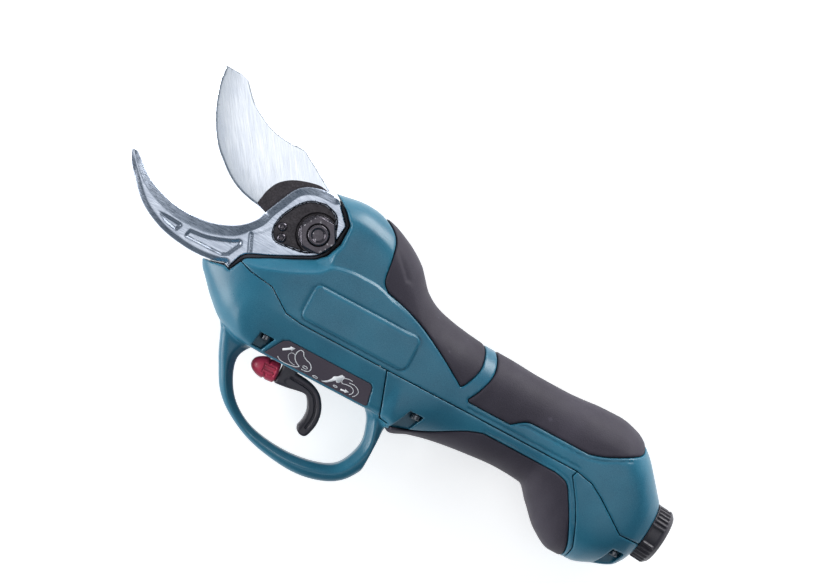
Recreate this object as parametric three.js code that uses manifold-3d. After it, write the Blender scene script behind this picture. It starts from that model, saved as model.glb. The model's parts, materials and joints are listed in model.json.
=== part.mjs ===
// Battery electric pruner, hand unit only, in millimetres.
// Design axes: +X from the blades to the tail, +Y from the finger guard to the back of the tool and +Z out
// of the left flank. The blades' pivot is at x = 0, y = 0, and z = 0 is the cutting blade's middle plane.
// The finished group is moved so that its origin lies under the middle of its box, on the resting flank.
import * as THREE from "three";
import { mergeVertices } from "three/addons/utils/BufferGeometryUtils.js";
import Module from "manifold-3d";

// Shells and pads
const GAP = 0.3; // between neighbouring pieces
const SHELL = 3.8; // wall of the housing where a pad lies on it, pad included
const PAD = 1.8; // thickness of the soft grip pads
const FLANK = 23.0; // half width of the flat flank below the pivot
const LAND = 23.5; // half width of the raised panel and of the tail, on which the tool rests
const PARTING = -40; // height of the line where the lower shells meet the upper housing
const FLANK_SLOPE = Math.atan(0.16); // the flank leans in below the parting line

// Blades and pivot
const BLADE_HALF = 1.8; // half thickness of the cutting blade
const RING_FACE = 8.4; // left face of the counter blade
const RECESS_FACE = 5.0; // floor of the recess around the pivot nut
const BORE = 5.25; // radius of the holes that the pivot bolt passes
const BOLT = 5.0;
const NUT_ACROSS_FLATS = 16;

// Drive: a screw pulls a nut whose cross pin swings the blade's fork
const DRIVE_Y = -32; // height of the screw, gear and motor axis
const SWING = THREE.MathUtils.degToRad(40); // the blade's swing from open to closed
const PIN_X = DRIVE_Y * Math.tan(SWING / 2); // cross pin with the blade open
const PIN_RADIUS = 3.0;
const FORK_REACH = 37.5;
const SCREW_RADIUS = 5.0;
const GEAR_MODULE = 0.7;
const SUN_TEETH = 12;
const PLANET_TEETH = 12;
const RING_TEETH = SUN_TEETH + 2 * PLANET_TEETH;
const PLANET_ORBIT = (GEAR_MODULE * (SUN_TEETH + PLANET_TEETH)) / 2;
const MOTOR_RADIUS = 14.0;

// Trigger
const TRIGGER_PIVOT = [18, -53];
const TRIGGER_HALF = 4.2;

// Tail connector
const TAIL = [203.2, -50.3]; // centre of the tail's end face
const TAIL_TILT = -0.084; // the end face leans by this angle
const RING_RADIUS = 14.7;

const wasm = await Module();
wasm.setup();

const finish = (color, roughness, metalness) => new THREE.MeshStandardMaterial({ color, roughness, metalness });
const materials = {
  shell: finish(0x2f7f9a, 0.45, 0),
  pad: finish(0x4a464e, 0.85, 0),
  label: finish(0x453f4b, 0.5, 0),
  brightSteel: finish(0xd7dce2, 0.25, 1),
  forgedSteel: finish(0x98a1ab, 0.4, 1),
  blackSteel: finish(0x222326, 0.45, 0.8),
  steel: finish(0xb9bdc2, 0.3, 1),
  bronze: finish(0xb08a4a, 0.4, 1),
  zinc: finish(0xa5a9ad, 0.35, 1),
  copper: finish(0xa9683f, 0.4, 0.9),
  magnet: finish(0x4b4d52, 0.5, 0.6),
  board: finish(0x1f6b3d, 0.6, 0),
  blackPlastic: finish(0x27272b, 0.5, 0),
  red: finish(0xb04055, 0.4, 0),
};

const group = new THREE.Group();

// ---- shape helpers -------------------------------------------------------------------------------------

// A geometry as a manifold solid.
function solid(geometry) {
  const bare = geometry.index ? geometry.toNonIndexed() : geometry.clone();
  bare.deleteAttribute("normal");
  bare.deleteAttribute("uv");
  const merged = mergeVertices(bare, 1e-4);
  return new wasm.Manifold(
    new wasm.Mesh({
      numProp: 3,
      vertProperties: merged.attributes.position.array,
      triVerts: new Uint32Array(merged.index.array),
    }),
  );
}

// The largest body of a solid, without the slivers that a cut can leave beside it.
function largest(made) {
  return made.decompose().sort((a, b) => b.volume() - a.volume())[0];
}

// A manifold solid as a geometry.
function geometryOf(made) {
  const mesh = made.getMesh();
  const geometry = new THREE.BufferGeometry();
  geometry.setAttribute("position", new THREE.BufferAttribute(mesh.vertProperties, 3));
  geometry.setIndex(new THREE.BufferAttribute(mesh.triVerts, 1));
  return geometry;
}

// Adds a named piece to a group, from a solid or from a geometry.
function addPiece(name, shape, material, parent = group) {
  const geometry = shape.isBufferGeometry ? shape : geometryOf(shape);
  const mesh = new THREE.Mesh(geometry, material);
  mesh.name = name;
  parent.add(mesh);
  return mesh;
}

// A closed outline from a start point and stretches: one point is a straight line to it, several points
// are a smooth curve through them.
function outline(start, ...stretches) {
  const shape = new THREE.Shape();
  shape.moveTo(...start);
  for (const points of stretches) {
    const stops = points.map(([x, y]) => new THREE.Vector2(x, y));
    if (stops.length === 1) shape.lineTo(stops[0].x, stops[0].y);
    else shape.splineThru(stops);
  }
  return shape;
}

// The same outline drawn in by a distance all round (out where it is negative).
function inset(shape, distance, steps = 3) {
  let points = shape.getPoints(steps).filter((p, i, all) => i === 0 || p.distanceTo(all[i - 1]) > 0.05);
  if (points[0].distanceTo(points.at(-1)) < 0.05) points.pop();
  if (THREE.ShapeUtils.isClockWise(points)) points = points.reverse();
  const moved = points.map((p, i) => {
    const before = p.clone().sub(points.at(i - 1)).normalize();
    const after = points[(i + 1) % points.length].clone().sub(p).normalize();
    const normal = new THREE.Vector2(-before.y - after.y, before.x + after.x).normalize();
    const stretch = Math.min(2, 1 / Math.max(0.3, normal.dot(new THREE.Vector2(-before.y, before.x))));
    return p.clone().addScaledVector(normal, distance * stretch);
  });
  return new THREE.Shape(moved);
}

// A prism of an outline between two depths.
function prism(shape, low, high, steps = 3) {
  const settings = { depth: high - low, bevelEnabled: false, curveSegments: steps };
  return solid(new THREE.ExtrudeGeometry(shape, settings).translate(0, 0, low));
}

// A prism with a chamfer along both rims, inside the two depths and the outline.
function chamferedPrism(shape, low, high, chamfer, steps = 3) {
  const wide = inset(shape, 0, steps).getPoints();
  const narrow = inset(shape, chamfer, steps).getPoints();
  const rings = [[narrow, low], [wide, low + chamfer], [wide, high - chamfer], [narrow, high]];
  const corners = rings.flatMap(([points, z]) => points.flatMap((p) => [p.x, p.y, z]));
  const count = wide.length;
  const caps = THREE.ShapeUtils.triangulateShape(wide, []);
  const triangles = [];
  const top = 3 * count;
  for (const [a, b, c] of caps) triangles.push(a, c, b, top + a, top + b, top + c);
  for (let r = 0; r < 3; r++)
    for (let i = 0; i < count; i++) {
      const a = r * count + i;
      const b = r * count + ((i + 1) % count);
      triangles.push(a, b, a + count, b, b + count, a + count);
    }
  const geometry = new THREE.BufferGeometry();
  geometry.setAttribute("position", new THREE.Float32BufferAttribute(corners, 3));
  geometry.setIndex(triangles);
  return solid(geometry);
}

function block(low, high) {
  const size = high.map((v, i) => v - low[i]);
  const middle = high.map((v, i) => (v + low[i]) / 2);
  return solid(new THREE.BoxGeometry(...size).translate(...middle));
}

// A round bar along x, y or z. place gives the two other coordinates, in x, y, z order.
function bar(axis, radius, from, to, place, sides = 20) {
  const made = new THREE.CylinderGeometry(radius, radius, to - from, sides);
  const along = (from + to) / 2;
  if (axis === "x") made.rotateZ(-Math.PI / 2).translate(along, ...place);
  if (axis === "y") made.translate(place[0], along, place[1]);
  if (axis === "z") made.rotateX(Math.PI / 2).translate(...place, along);
  return solid(made);
}

function sleeve(axis, outer, inner, from, to, place, sides = 20) {
  return bar(axis, outer, from, to, place, sides).subtract(bar(axis, inner, from - 1, to + 1, place, sides));
}

// A hexagonal prism along z with its flats this far apart.
function hexagon(acrossFlats, low, high, place) {
  return bar("z", acrossFlats / Math.sqrt(3), low, high, place, 6);
}

function roundedRectangle(left, low, right, high, radius) {
  const shape = new THREE.Shape();
  shape.moveTo(left + radius, low);
  shape.absarc(right - radius, low + radius, radius, -Math.PI / 2, 0);
  shape.absarc(right - radius, high - radius, radius, 0, Math.PI / 2);
  shape.absarc(left + radius, high - radius, radius, Math.PI / 2, Math.PI);
  shape.absarc(left + radius, low + radius, radius, Math.PI, 1.5 * Math.PI);
  return shape;
}

// ---- outer body ----------------------------------------------------------------------------------------

// Sections of the body along x: top and bottom heights, height of the widest place, half width, and how
// square the section is above and below that place (2 is an ellipse).
const SECTIONS = [
  { x: -42, top: -31, bottom: -37, waist: -34, half: 3.5, above: 2.2, below: 2.2 },
  { x: -38, top: -20, bottom: -41, waist: -33, half: 8, above: 2.2, below: 2.3 },
  { x: -30, top: -5, bottom: -49.5, waist: -32, half: 14, above: 2.2, below: 2.6 },
  { x: -20, top: 8, bottom: -57.5, waist: -31, half: 19, above: 2.4, below: 3.2 },
  { x: -9, top: 18.6, bottom: -61, waist: -30, half: 22.5, above: 2.8, below: 5 },
  { x: 3, top: 21.6, bottom: -61, waist: -30, half: 25, above: 3.1, below: 9 },
  { x: 15, top: 23.3, bottom: -61, waist: -30, half: 25, above: 3.2, below: 9 },
  { x: 28, top: 21.4, bottom: -61, waist: -30, half: 25, above: 3.1, below: 9 },
  { x: 40, top: 16.8, bottom: -61, waist: -30, half: 25, above: 2.8, below: 9 },
  { x: 50, top: 10.5, bottom: -61, waist: -31, half: 25, above: 2.5, below: 9 },
  { x: 60, top: 0, bottom: -61, waist: -32, half: 25, above: 2.3, below: 7 },
  { x: 67, top: -4, bottom: -62.5, waist: -32, half: 24.6, above: 2.2, below: 5 },
  { x: 73, top: -5.8, bottom: -66, waist: -32.5, half: 24, above: 2.2, below: 4 },
  { x: 82, top: -7.5, bottom: -63, waist: -33, half: 22.7, above: 2.2, below: 3 },
  { x: 95, top: -8.9, bottom: -60.2, waist: -33, half: 20.8, above: 2.3, below: 2.5 },
  { x: 110, top: -9.3, bottom: -58.3, waist: -33, half: 20, above: 2.3, below: 2.4 },
  { x: 126, top: -10.2, bottom: -57.1, waist: -33, half: 20, above: 2.3, below: 2.4 },
  { x: 140, top: -10.3, bottom: -58, waist: -34, half: 20.5, above: 2.3, below: 2.4 },
  { x: 148, top: -9.9, bottom: -65.5, waist: -36, half: 21.6, above: 2.3, below: 2.4 },
  { x: 158, top: -9, bottom: -75, waist: -39, half: 23.4, above: 2.3, below: 2.4 },
  { x: 168, top: -8.8, bottom: -79.7, waist: -42, half: 24.6, above: 2.4, below: 2.5 },
  { x: 178, top: -10.8, bottom: -79.5, waist: -44, half: 25, above: 2.5, below: 2.6 },
  { x: 188, top: -17.5, bottom: -76, waist: -46, half: 23.6, above: 2.5, below: 2.8 },
  { x: 197, top: -27.5, bottom: -72.4, waist: -48, half: 20.5, above: 2.4, below: 2.6 },
  { x: 203, top: -34.5, bottom: -65, waist: -50, half: 16.5, above: 2.3, below: 2.3 },
  { x: 206, top: -38, bottom: -62, waist: -50.3, half: 14.5, above: 2.2, below: 2.2 },
];

// The half width that flat flanks leave: a plane above the parting line, leaning in below it ahead of the
// seam with the rear cover, and a plane at the tail.
function flankLimit(x, y) {
  if (x > 100) return LAND;
  const lean = x < 66 ? Math.max(0, PARTING - y) * Math.tan(FLANK_SLOPE) : 0;
  return FLANK - lean;
}

// The body's outer form, drawn in all round by a distance, with this many corners to a section.
function bodyForm(distance, around = 16) {
  const corners = [];
  const first = SECTIONS[0].x;
  const last = SECTIONS.at(-1).x;
  const sections = SECTIONS.filter((s) => s.half > distance + 1.5);
  for (const [index, s] of sections.entries()) {
    let x = s.x;
    if (index === 0) x = Math.max(x, first + distance);
    if (index === sections.length - 1) x = last - 1.6 * distance;
    for (let i = 0; i < around; i++) {
      const angle = ((i + 0.5) * 2 * Math.PI) / around;
      const up = Math.sin(angle);
      const power = up > 0 ? s.above : s.below;
      const reach = up > 0 ? s.top - distance - s.waist : s.waist - s.bottom - distance;
      const y = s.waist + Math.sign(up) * reach * Math.abs(up) ** (2 / power);
      const across = (s.half - distance) * Math.abs(Math.cos(angle)) ** (2 / power);
      const limit = flankLimit(s.x, y) - distance;
      corners.push(x, y, Math.sign(Math.cos(angle)) * Math.min(across, limit));
    }
  }
  const rings = sections.length;
  const triangles = [];
  for (let r = 0; r + 1 < rings; r++)
    for (let i = 0; i < around; i++) {
      const a = r * around + i;
      const b = r * around + ((i + 1) % around);
      const c = a + around;
      const d = b + around;
      triangles.push(a, c, b, b, c, d);
    }
  const lastRing = (rings - 1) * around;
  for (let i = 1; i + 1 < around; i++) {
    triangles.push(0, i, i + 1);
    triangles.push(lastRing, lastRing + i + 1, lastRing + i);
  }
  const geometry = new THREE.BufferGeometry();
  geometry.setAttribute("position", new THREE.Float32BufferAttribute(corners, 3));
  geometry.setIndex(triangles);
  return solid(geometry);
}

// ---- side-view lines that several pieces share ---------------------------------------------------------

// Edge of the housing around the ring of the counter blade, from the top of the head to the nose.
const pocketEdge = [
  [-1.8, 21.2], [1.4, 19.9], [6.4, 16.3], [11.4, 10.9], [11.4, 1], [8.4, -6.6], [4.6, -10.6], [-4.5, -15.4],
  [-14.5, -20.2], [-24.5, -25.6],
];
const noseEdge = [[-26, -28], [-28.9, -34], [-31.6, -33], [-38, -34.6], [-44, -35.3]];
// Parting line between the upper housing and the shells below it.
const partingFront = [[-26, -27.6], [-20, -29.5], [-8, -31], [3.5, -38.8], [12, PARTING]];
const guardSeam = [[57.5, PARTING], [65, -60.5], [66.5, -61.8], [71.2, -62.3]];
const tailFrontSeam = [[159, PARTING], [158, -43], [165, -53], [169, -60], [175, -73], [175.3, -84]];
const tailUpperSeam = [[159, PARTING], [168, -42], [175, -46], [191, -57], [206, -57]];
const tailEndX = (y) => TAIL[0] - (y - TAIL[1]) * TAIL_TILT;

const reversed = (points) => [...points].reverse();
const each = (points) => points.map((p) => [p]);

const regions = {
  upper: outline(
    [-1.8, 40],
    ...each(pocketEdge),
    ...each(partingFront),
    ...each(tailUpperSeam.slice(0, -1)),
    [[tailEndX(-57), -57]],
    [[tailEndX(40), 40]],
  ),
  guard: outline(
    noseEdge[0],
    ...each(noseEdge.slice(1)),
    [[-44, -75]],
    [[71.2, -75]],
    ...each(reversed(guardSeam)),
    ...each(reversed(partingFront)),
  ),
  rear: outline(
    guardSeam[0],
    ...each(guardSeam.slice(1)),
    [[71.2, -84]],
    ...each(reversed(tailFrontSeam)),
  ),
  tail: outline(
    tailFrontSeam[0],
    ...each(tailFrontSeam.slice(1)),
    [[tailEndX(-84), -84]],
    [[tailEndX(-57), -57]],
    ...each(reversed(tailUpperSeam.slice(1, -1))),
  ),
};

const padOutlines = {
  front: outline(
    [21, 23], [[25, 21.5], [30, 18.5], [33.5, 14], [35.3, 6], [37, -4], [41, -8.3]],
    [[52, -11], [65, -16], [80, -24], [90, -30]],
    [[92, -30.8], [94, -28], [96.8, -20], [96, -12], [93.5, -7]], [[93.5, 30]], [[21, 30]],
  ),
  rear: outline(
    [99.5, -7], [[102.5, -13], [103.3, -20], [100.5, -29], [97.5, -34.5]], [[98.5, -35.7]], [[121, -35.7]],
    [[127, -31.3], [131, -30.5]], [[160, -30.5]], [[168, -28], [180, -22], [184.5, -18.5], [184.5, -13]],
    [[184.5, 10]], [[99.5, 10]],
  ),
  lower: outline(
    [71.6, -62.6], [[80, -60.3], [90, -56], [104, -48], [112, -45]], [[150, -45]],
    [[157, -47], [162, -54], [168, -64.5], [173, -75], [174, -84]], [[71.6, -84]],
  ),
};

const WIDE = 40; // beyond every surface of the body
const PAD_STEPS = 2; // straight steps to each point of a pad's curved edge
const EDGE_WALL = 2.4; // thickness of the wall along the blades' opening
const RAIL_SLOT_HALF = 5.4; // half width of the slot that the trigger passes

const outerForm = bodyForm(0);
const innerForm = bodyForm(SHELL, 12);
const padFloor = bodyForm(PAD);
const pocketFloor = bodyForm(PAD + GAP);

// Room for a pad in the shells under it.
function padPocket(shape) {
  return prism(shape, -WIDE, WIDE, PAD_STEPS).subtract(pocketFloor);
}

function padPiece(shape) {
  return outerForm.intersect(prism(inset(shape, GAP, PAD_STEPS), -WIDE, WIDE)).subtract(padFloor);
}

// The part of the hollow body that lies in one region of the side view, with a wall along an open edge.
function shellOf(region, form = outerForm) {
  return form.intersect(prism(inset(region, GAP / 2), -WIDE, WIDE)).subtract(innerForm);
}

// A wall that follows an edge of the side view, on the material's side, outside a slot for the blades.
function edgeWall(points, slot, region) {
  const there = points.map(([x, y]) => new THREE.Vector2(x, y));
  const back = there.map((p, i) => {
    const along = (there[i + 1] ?? p).clone().sub(there[i - 1] ?? p).normalize();
    return p.clone().add(new THREE.Vector2(-along.y, along.x).multiplyScalar(EDGE_WALL));
  });
  const band = new THREE.Shape([...there, ...back.reverse()]);
  const wall = outerForm.intersect(prism(band, -WIDE, WIDE));
  return wall.intersect(prism(inset(region, GAP / 2), -WIDE, WIDE)).subtract(slot);
}

// ---- screws that hold the lower shells -----------------------------------------------------------------

// Each screw stands in a well that opens downward and sideways: its place, the seam that it crosses and
// the height of its head.
const screwPlaces = [
  { name: "nose", x: 1, z: 17.3, seam: -34.6, head: -52, wide: 7.6, floor: -64 },
  { name: "rear", x: 80, z: 17.8, seam: PARTING, head: -52, wide: 7.6, floor: -68 },
  { name: "tail", x: 194, z: 13, seam: -57, head: -65, wide: 6.6, floor: -82 },
];
const SCREW_HEAD = 2.5; // radii
const SCREW_SHANK = 1.4;
const WELL_HALF = 3.4; // from the screw to the well's inner wall
const sides = [["left", 1], ["right", -1]];

function acrossBox(x, wide, lowY, highY, fromZ, toZ, side) {
  const z = [side * fromZ, side * toZ].sort((a, b) => a - b);
  return block([x - wide / 2, lowY, z[0]], [x + wide / 2, highY, z[1]]);
}

// The lower shell with its screw posts and wells.
function withWells(shell, place) {
  let made = shell;
  for (const [, side] of sides) {
    const reach = place.z + WELL_HALF;
    const post = acrossBox(place.x, place.wide + 3, place.head - 6, place.head + 5, place.z - 5, reach, side);
    made = made.add(post.intersect(outerForm));
    const well = acrossBox(place.x, place.wide, place.floor, place.head, place.z - WELL_HALF, WIDE, side);
    const at = [place.x, side * place.z];
    made = made.subtract(well).subtract(bar("y", SCREW_SHANK + GAP, place.head - 1, place.seam + 9, at, 10));
  }
  return made;
}

// Posts in the upper housing that the screws run into.
function screwPosts(place) {
  const top = place.seam + 9;
  return sides.map(([, side]) => {
    const post = bar("y", 3.4, place.seam + GAP, top, [place.x, side * (place.z + 0.8)], 10);
    const hole = bar("y", SCREW_SHANK + GAP, place.seam - 5, top - 1.5, [place.x, side * place.z], 10);
    return { post: post.intersect(outerForm), hole };
  });
}

function addHousingScrews() {
  for (const place of screwPlaces)
    for (const [sideName, side] of sides) {
      const at = [place.x, side * place.z];
      const head = bar("y", SCREW_HEAD, place.head - 2.6, place.head - GAP, at, 12);
      const shank = bar("y", SCREW_SHANK, place.head - 1, place.seam + 6.5, at, 8);
      const socket = bar("y", 1.2, place.head - 4, place.head - 1.4, at, 6);
      addPiece(`housing_screw_${place.name}_${sideName}`, head.add(shank).subtract(socket), materials.zinc);
    }
}

// ---- housing -------------------------------------------------------------------------------------------

const PANEL = { left: 10.5, right: 65.5, low: -37.5, high: -18.5, radius: 3 };
const bladeSlot = block([-29, -35, -10.6], [17, 17, RING_FACE + 0.4]);

function upperHousing() {
  const panelShape = roundedRectangle(PANEL.left, PANEL.low, PANEL.right, PANEL.high, PANEL.radius);
  const raised = outerForm.add(prism(panelShape, -LAND, LAND, 2));
  let made = shellOf(regions.upper, raised);
  made = made.add(edgeWall(pocketEdge, bladeSlot, regions.upper));
  for (const shape of [padOutlines.front, padOutlines.rear]) made = made.subtract(padPocket(shape));
  for (const place of screwPlaces)
    for (const { post, hole } of screwPosts(place)) made = made.add(post).subtract(hole);
  return largest(made.subtract(connectorHole()));
}

// The closed loop around the trigger, as an outline with its opening.
function guardLoop() {
  const loop = outline(
    [-19.4, -58.4],
    [
      [-12, -75], [-5, -86.5], [5, -94.5], [20, -101], [40, -104], [55, -102], [66, -95.8], [73, -84],
      [73.6, -76], [70.8, -66.8],
    ],
    [[70.8, -62.7]],
    [[66, -62.2]],
    [[64, -58.4]],
  );
  const opening = outline(
    [-2, -61.3],
    [
      [-5.2, -68], [-3.5, -76], [2, -85], [10, -91.5], [20, -95.3], [35, -96.9], [50, -95], [60, -90],
      [65, -78], [62.5, -67],
    ],
    [[58.5, -61.3]],
  );
  const half = 8;
  return chamferedPrism(loop, -half, half, 2.2).subtract(prism(opening, -WIDE, WIDE, 3));
}

const labelOutline = outline(
  [3.4, -59.6], [[8.5, -50.8]], [[11, -49.3]], [[54, -49.3]], [[55.4, -50.6]], [[57.3, -59]], [[56.4, -59.8]],
  [[4, -59.8]],
);

// Moves a prism drawn in the side view on to the leaning flank of one side, with z counted from it.
function ontoFlank(geometry, side) {
  return geometry
    .translate(0, -PARTING, 0)
    .rotateX(side * FLANK_SLOPE)
    .translate(0, PARTING, side * FLANK);
}

function labelPrism(shape, from, to, side) {
  const [low, high] = [side * from, side * to].sort((a, b) => a - b);
  const settings = { depth: high - low, bevelEnabled: false, curveSegments: 2 };
  return solid(ontoFlank(new THREE.ExtrudeGeometry(shape, settings).translate(0, 0, low), side));
}

function guardHousing() {
  let made = shellOf(regions.guard).add(edgeWall(noseEdge, bladeSlot, regions.guard));
  const seamCut = prism(inset(regions.rear, -GAP / 2), -WIDE, WIDE);
  made = made.add(guardLoop().subtract(innerForm).subtract(seamCut));
  made = withWells(made, screwPlaces[0]);
  const pinBoss = bar("z", 5, -20, 20, TRIGGER_PIVOT, 12).subtract(block([0, -80, -8.6], [40, -40, 8.6]));
  const railSlot = block([9, -66, -RAIL_SLOT_HALF], [47, -50, RAIL_SLOT_HALF]);
  made = made.add(pinBoss.intersect(outerForm)).subtract(railSlot);
  made = made.subtract(bar("z", 2.3, -12.4, 12.4, TRIGGER_PIVOT, 12));
  for (const [, side] of sides) made = made.subtract(labelPrism(inset(labelOutline, -GAP), -1.2, 5, side));
  return largest(made);
}

function rearCover() {
  let made = shellOf(regions.rear);
  made = withWells(made, screwPlaces[1]);
  return largest(made.subtract(padPocket(padOutlines.lower)));
}

function tailCover() {
  let made = shellOf(regions.tail);
  made = withWells(made, screwPlaces[2]);
  return largest(made.subtract(connectorHole()));
}

function addHousing() {
  addPiece("upper_housing", upperHousing(), materials.shell);
  addPiece("guard_housing", guardHousing(), materials.shell);
  addPiece("rear_cover", rearCover(), materials.shell);
  addPiece("tail_cover", tailCover(), materials.shell);
  addPiece("front_grip_pad", padPiece(padOutlines.front), materials.pad);
  addPiece("rear_grip_pad", padPiece(padOutlines.rear), materials.pad);
  addPiece("lower_grip_pad", padPiece(padOutlines.lower), materials.pad);
  for (const [sideName, side] of sides)
    addPiece(`label_plate_${sideName}`, labelPrism(labelOutline, -0.9, -0.3, side), materials.label);
}

// ---- cutting head --------------------------------------------------------------------------------------

const counterOutline = outline(
  [-93.6, -4.9],
  [
    [-94.8, -7], [-90, -14], [-80, -24.5], [-70, -30.3], [-60, -33.3], [-48, -34.6], [-38, -33.8], [-32, -32],
  ],
  [[-29.5, -33]],
  [[-27, -26]],
  [[-24, -23], [-15, -19], [-5, -14], [4, -9], [8, -3.5], [9.4, 4]],
  [[10, 9.5]],
  [[5, 15], [-0.5, 19.6], [-10, 19], [-18, 14.5], [-23, 5], [-26.5, -3]],
  [[-28, -7], [-33, -12.5], [-40, -16.5], [-50, -19.2], [-65, -19], [-80, -14], [-91.8, -5.4]],
);
const recessOutline = outline(
  [-3, 14.5],
  [
    [4, 12], [7.5, 4], [6.3, -4], [0, -10], [-9, -12], [-16.5, -12.4], [-20, -7], [-18.3, 2], [-11.5, 11.6],
    [-3, 14.5],
  ],
);
const hookPockets = [
  outline([-71, -25], [[-58, -25.2]], [[-57.4, -26.4]], [[-59, -30]], [[-66, -28.6]]),
  outline(
    [-54, -25.5], [[-45, -24.5], [-35, -21], [-30, -18.8]], [[-28.5, -21]], [[-32, -28.5]], [[-35, -30.2]],
    [[-54.5, -30.5]],
  ),
];
const lockScrewPlaces = [[-16, -4.5], [-14, -9.3]];
const tangPlace = [-24.5, -30.5]; // where the counter blade is bolted to the frame, inside the head

function counterBlade() {
  let made = prism(counterOutline, BLADE_HALF + GAP, RING_FACE, 3);
  made = made.subtract(prism(recessOutline, RECESS_FACE, WIDE, 2));
  for (const shape of hookPockets) made = made.subtract(prism(shape, RING_FACE - 1.5, WIDE, 3));
  const tang = outline([-27.5, -25], [[-28, -31.5]], [[-24.5, -34]], [[-20.6, -31.5]], [[-19, -20]]);
  made = made.add(prism(tang, BLADE_HALF + GAP, RECESS_FACE));
  made = made.subtract(bar("z", BORE, 0, WIDE, [0, 0]));
  made = made.subtract(bar("z", 1.8, 0, WIDE, tangPlace, 10));
  for (const place of lockScrewPlaces) made = made.subtract(bar("z", 1.4, 2.6, WIDE, place, 8));
  return made;
}

function cuttingBlade() {
  const leaf = outline(
    [-74.5, 49.5],
    [[-65.5, 49.4]],
    [[-62, 48], [-53, 39.3], [-45, 35], [-35, 32.3], [-23.5, 32.2]],
    [[-1.5, 19.2]],
    [[4, 10]],
    [[-6, -12]],
    [[-17, -6.5]],
    [[-27, -2.2]],
    [[-35, -0.7], [-45, 2.5], [-55, 9.5], [-65, 20.5], [-72, 36.5], [-74.5, 49.5]],
  );
  const hub = bar("z", 15, -BLADE_HALF, BLADE_HALF, [0, 0], 28);
  const slotHalf = PIN_RADIUS + 0.4;
  const armHalf = slotHalf + 5;
  const arm = outline(
    [-armHalf, 0], [[-armHalf, -FORK_REACH]], [[-slotHalf, -FORK_REACH]], [[-slotHalf, -27.5]],
    [[slotHalf, -27.5]], [[slotHalf, -FORK_REACH]], [[armHalf, -FORK_REACH]], [[armHalf, 0]],
  );
  const armSettings = { depth: 2 * BLADE_HALF, bevelEnabled: false };
  const armGeometry = new THREE.ExtrudeGeometry(arm, armSettings).translate(0, 0, -BLADE_HALF);
  const armSolid = solid(armGeometry.rotateZ(-SWING / 2));
  const leafSolid = prism(leaf, -BLADE_HALF, BLADE_HALF, 3);
  return leafSolid.add(hub).add(armSolid).subtract(bar("z", 7.4, -WIDE, WIDE, [0, 0], 24));
}

// Right-hand side plate that carries the pivot bolt and reaches back to the bearing block.
function headFrame() {
  const plate = outline(
    [-10, 10], [[-5, 14.6]], [[-2.4, 18.4]], [[0.6, 19.2]], [[4.6, 16.6]], [[7, 16.5], [12.5, 13], [14.2, 5]],
    [[30, 0]], [[66, -16]], [[66, -22.6]], [[-15, -22.6]], [[-20.5, -27]], [[-20.5, -32]], [[-24.5, -34.5]],
    [[-28.3, -33.1]], [[-31.8, -32.5]], [[-38, -34]], [[-43, -34.6]], [[-42, -33.4]], [[-36, -32.2]], [[-30, -29]],
    [[-28, -24]], [[-14, -6]],
  );
  let made = prism(plate, -7.9, -BLADE_HALF - 1.1, 3);
  made = made.add(bar("z", 3.6, -7.9, BLADE_HALF, tangPlace, 14));
  made = made.subtract(bar("z", BORE, -WIDE, WIDE, [0, 0]));
  return made.subtract(bar("z", 1.8, -WIDE, WIDE, tangPlace, 10));
}

function pivotNut() {
  const collar = bar("z", 6.8, 7.1, 9, [0, 0]);
  const flange = bar("z", 9.0, 8.8, 9.8, [0, 0], 24);
  const hex = hexagon(NUT_ACROSS_FLATS, 9.5, 14, [0, 0]);
  return collar.add(flange).add(hex).subtract(bar("z", BORE, 0, WIDE, [0, 0]));
}

function addHead() {
  addPiece("cutting_blade", cuttingBlade(), materials.brightSteel);
  addPiece("blade_bush", sleeve("z", 7.05, BORE, -BLADE_HALF, BLADE_HALF, [0, 0], 24), materials.bronze);
  addPiece("counter_blade", counterBlade(), materials.forgedSteel);
  addPiece("head_frame", headFrame(), materials.blackSteel);
  const washer = sleeve("z", 12, BORE, -BLADE_HALF - 0.8, -BLADE_HALF - GAP, [0, 0], 24);
  addPiece("thrust_washer", washer, materials.bronze);
  const bolt = hexagon(17, -14, -8.2, [0, 0]).add(bar("z", BOLT, -8.5, 15.6, [0, 0]));
  addPiece("pivot_bolt", bolt, materials.blackSteel);
  addPiece("pivot_nut", pivotNut(), materials.blackSteel);
  const plate = prism(inset(recessOutline, 0.7), RECESS_FACE + GAP, 6.8, 2);
  const plateHoles = [bar("z", BORE, 0, WIDE, [0, 0])];
  for (const place of lockScrewPlaces) plateHoles.push(bar("z", 1.5, 0, WIDE, place, 8));
  addPiece("lock_plate", plateHoles.reduce((made, hole) => made.subtract(hole), plate), materials.blackSteel);
  for (const [i, place] of lockScrewPlaces.entries()) {
    const head = bar("z", 2.3, 7.1, 9.0, place, 14);
    const socket = bar("z", 1.1, 8.0, 12, place, 6);
    const made = head.add(bar("z", 1.1, 3.0, 7.5, place, 8)).subtract(socket);
    addPiece(`lock_plate_screw_${i + 1}`, made, materials.blackSteel);
  }
  const tangScrew = bar("z", 3.0, -10.2, -8.2, tangPlace, 12).add(bar("z", 1.5, -8.5, 4.6, tangPlace, 8));
  addPiece("tang_screw", tangScrew, materials.zinc);
}

// ---- drive ---------------------------------------------------------------------------------------------

// An external or internal gear's outline: trapezoid teeth, the first one centred on the +x direction.
function toothedOutline(teeth, tip, root, tipHalf, rootHalf) {
  const points = [];
  const pitch = (2 * Math.PI) / teeth;
  for (let i = 0; i < teeth; i++)
    for (const [radius, part] of [[root, -rootHalf], [tip, -tipHalf], [tip, tipHalf], [root, rootHalf]]) {
      const angle = (i + part) * pitch;
      points.push(new THREE.Vector2(radius * Math.cos(angle), radius * Math.sin(angle)));
    }
  return points;
}

// Turns a solid drawn around z, counted from z = 0, into one around the drive axis that starts at x.
function ontoDrive(geometry, x, turn = 0) {
  return geometry.rotateZ(turn).rotateY(Math.PI / 2).translate(x, DRIVE_Y, 0);
}

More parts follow.
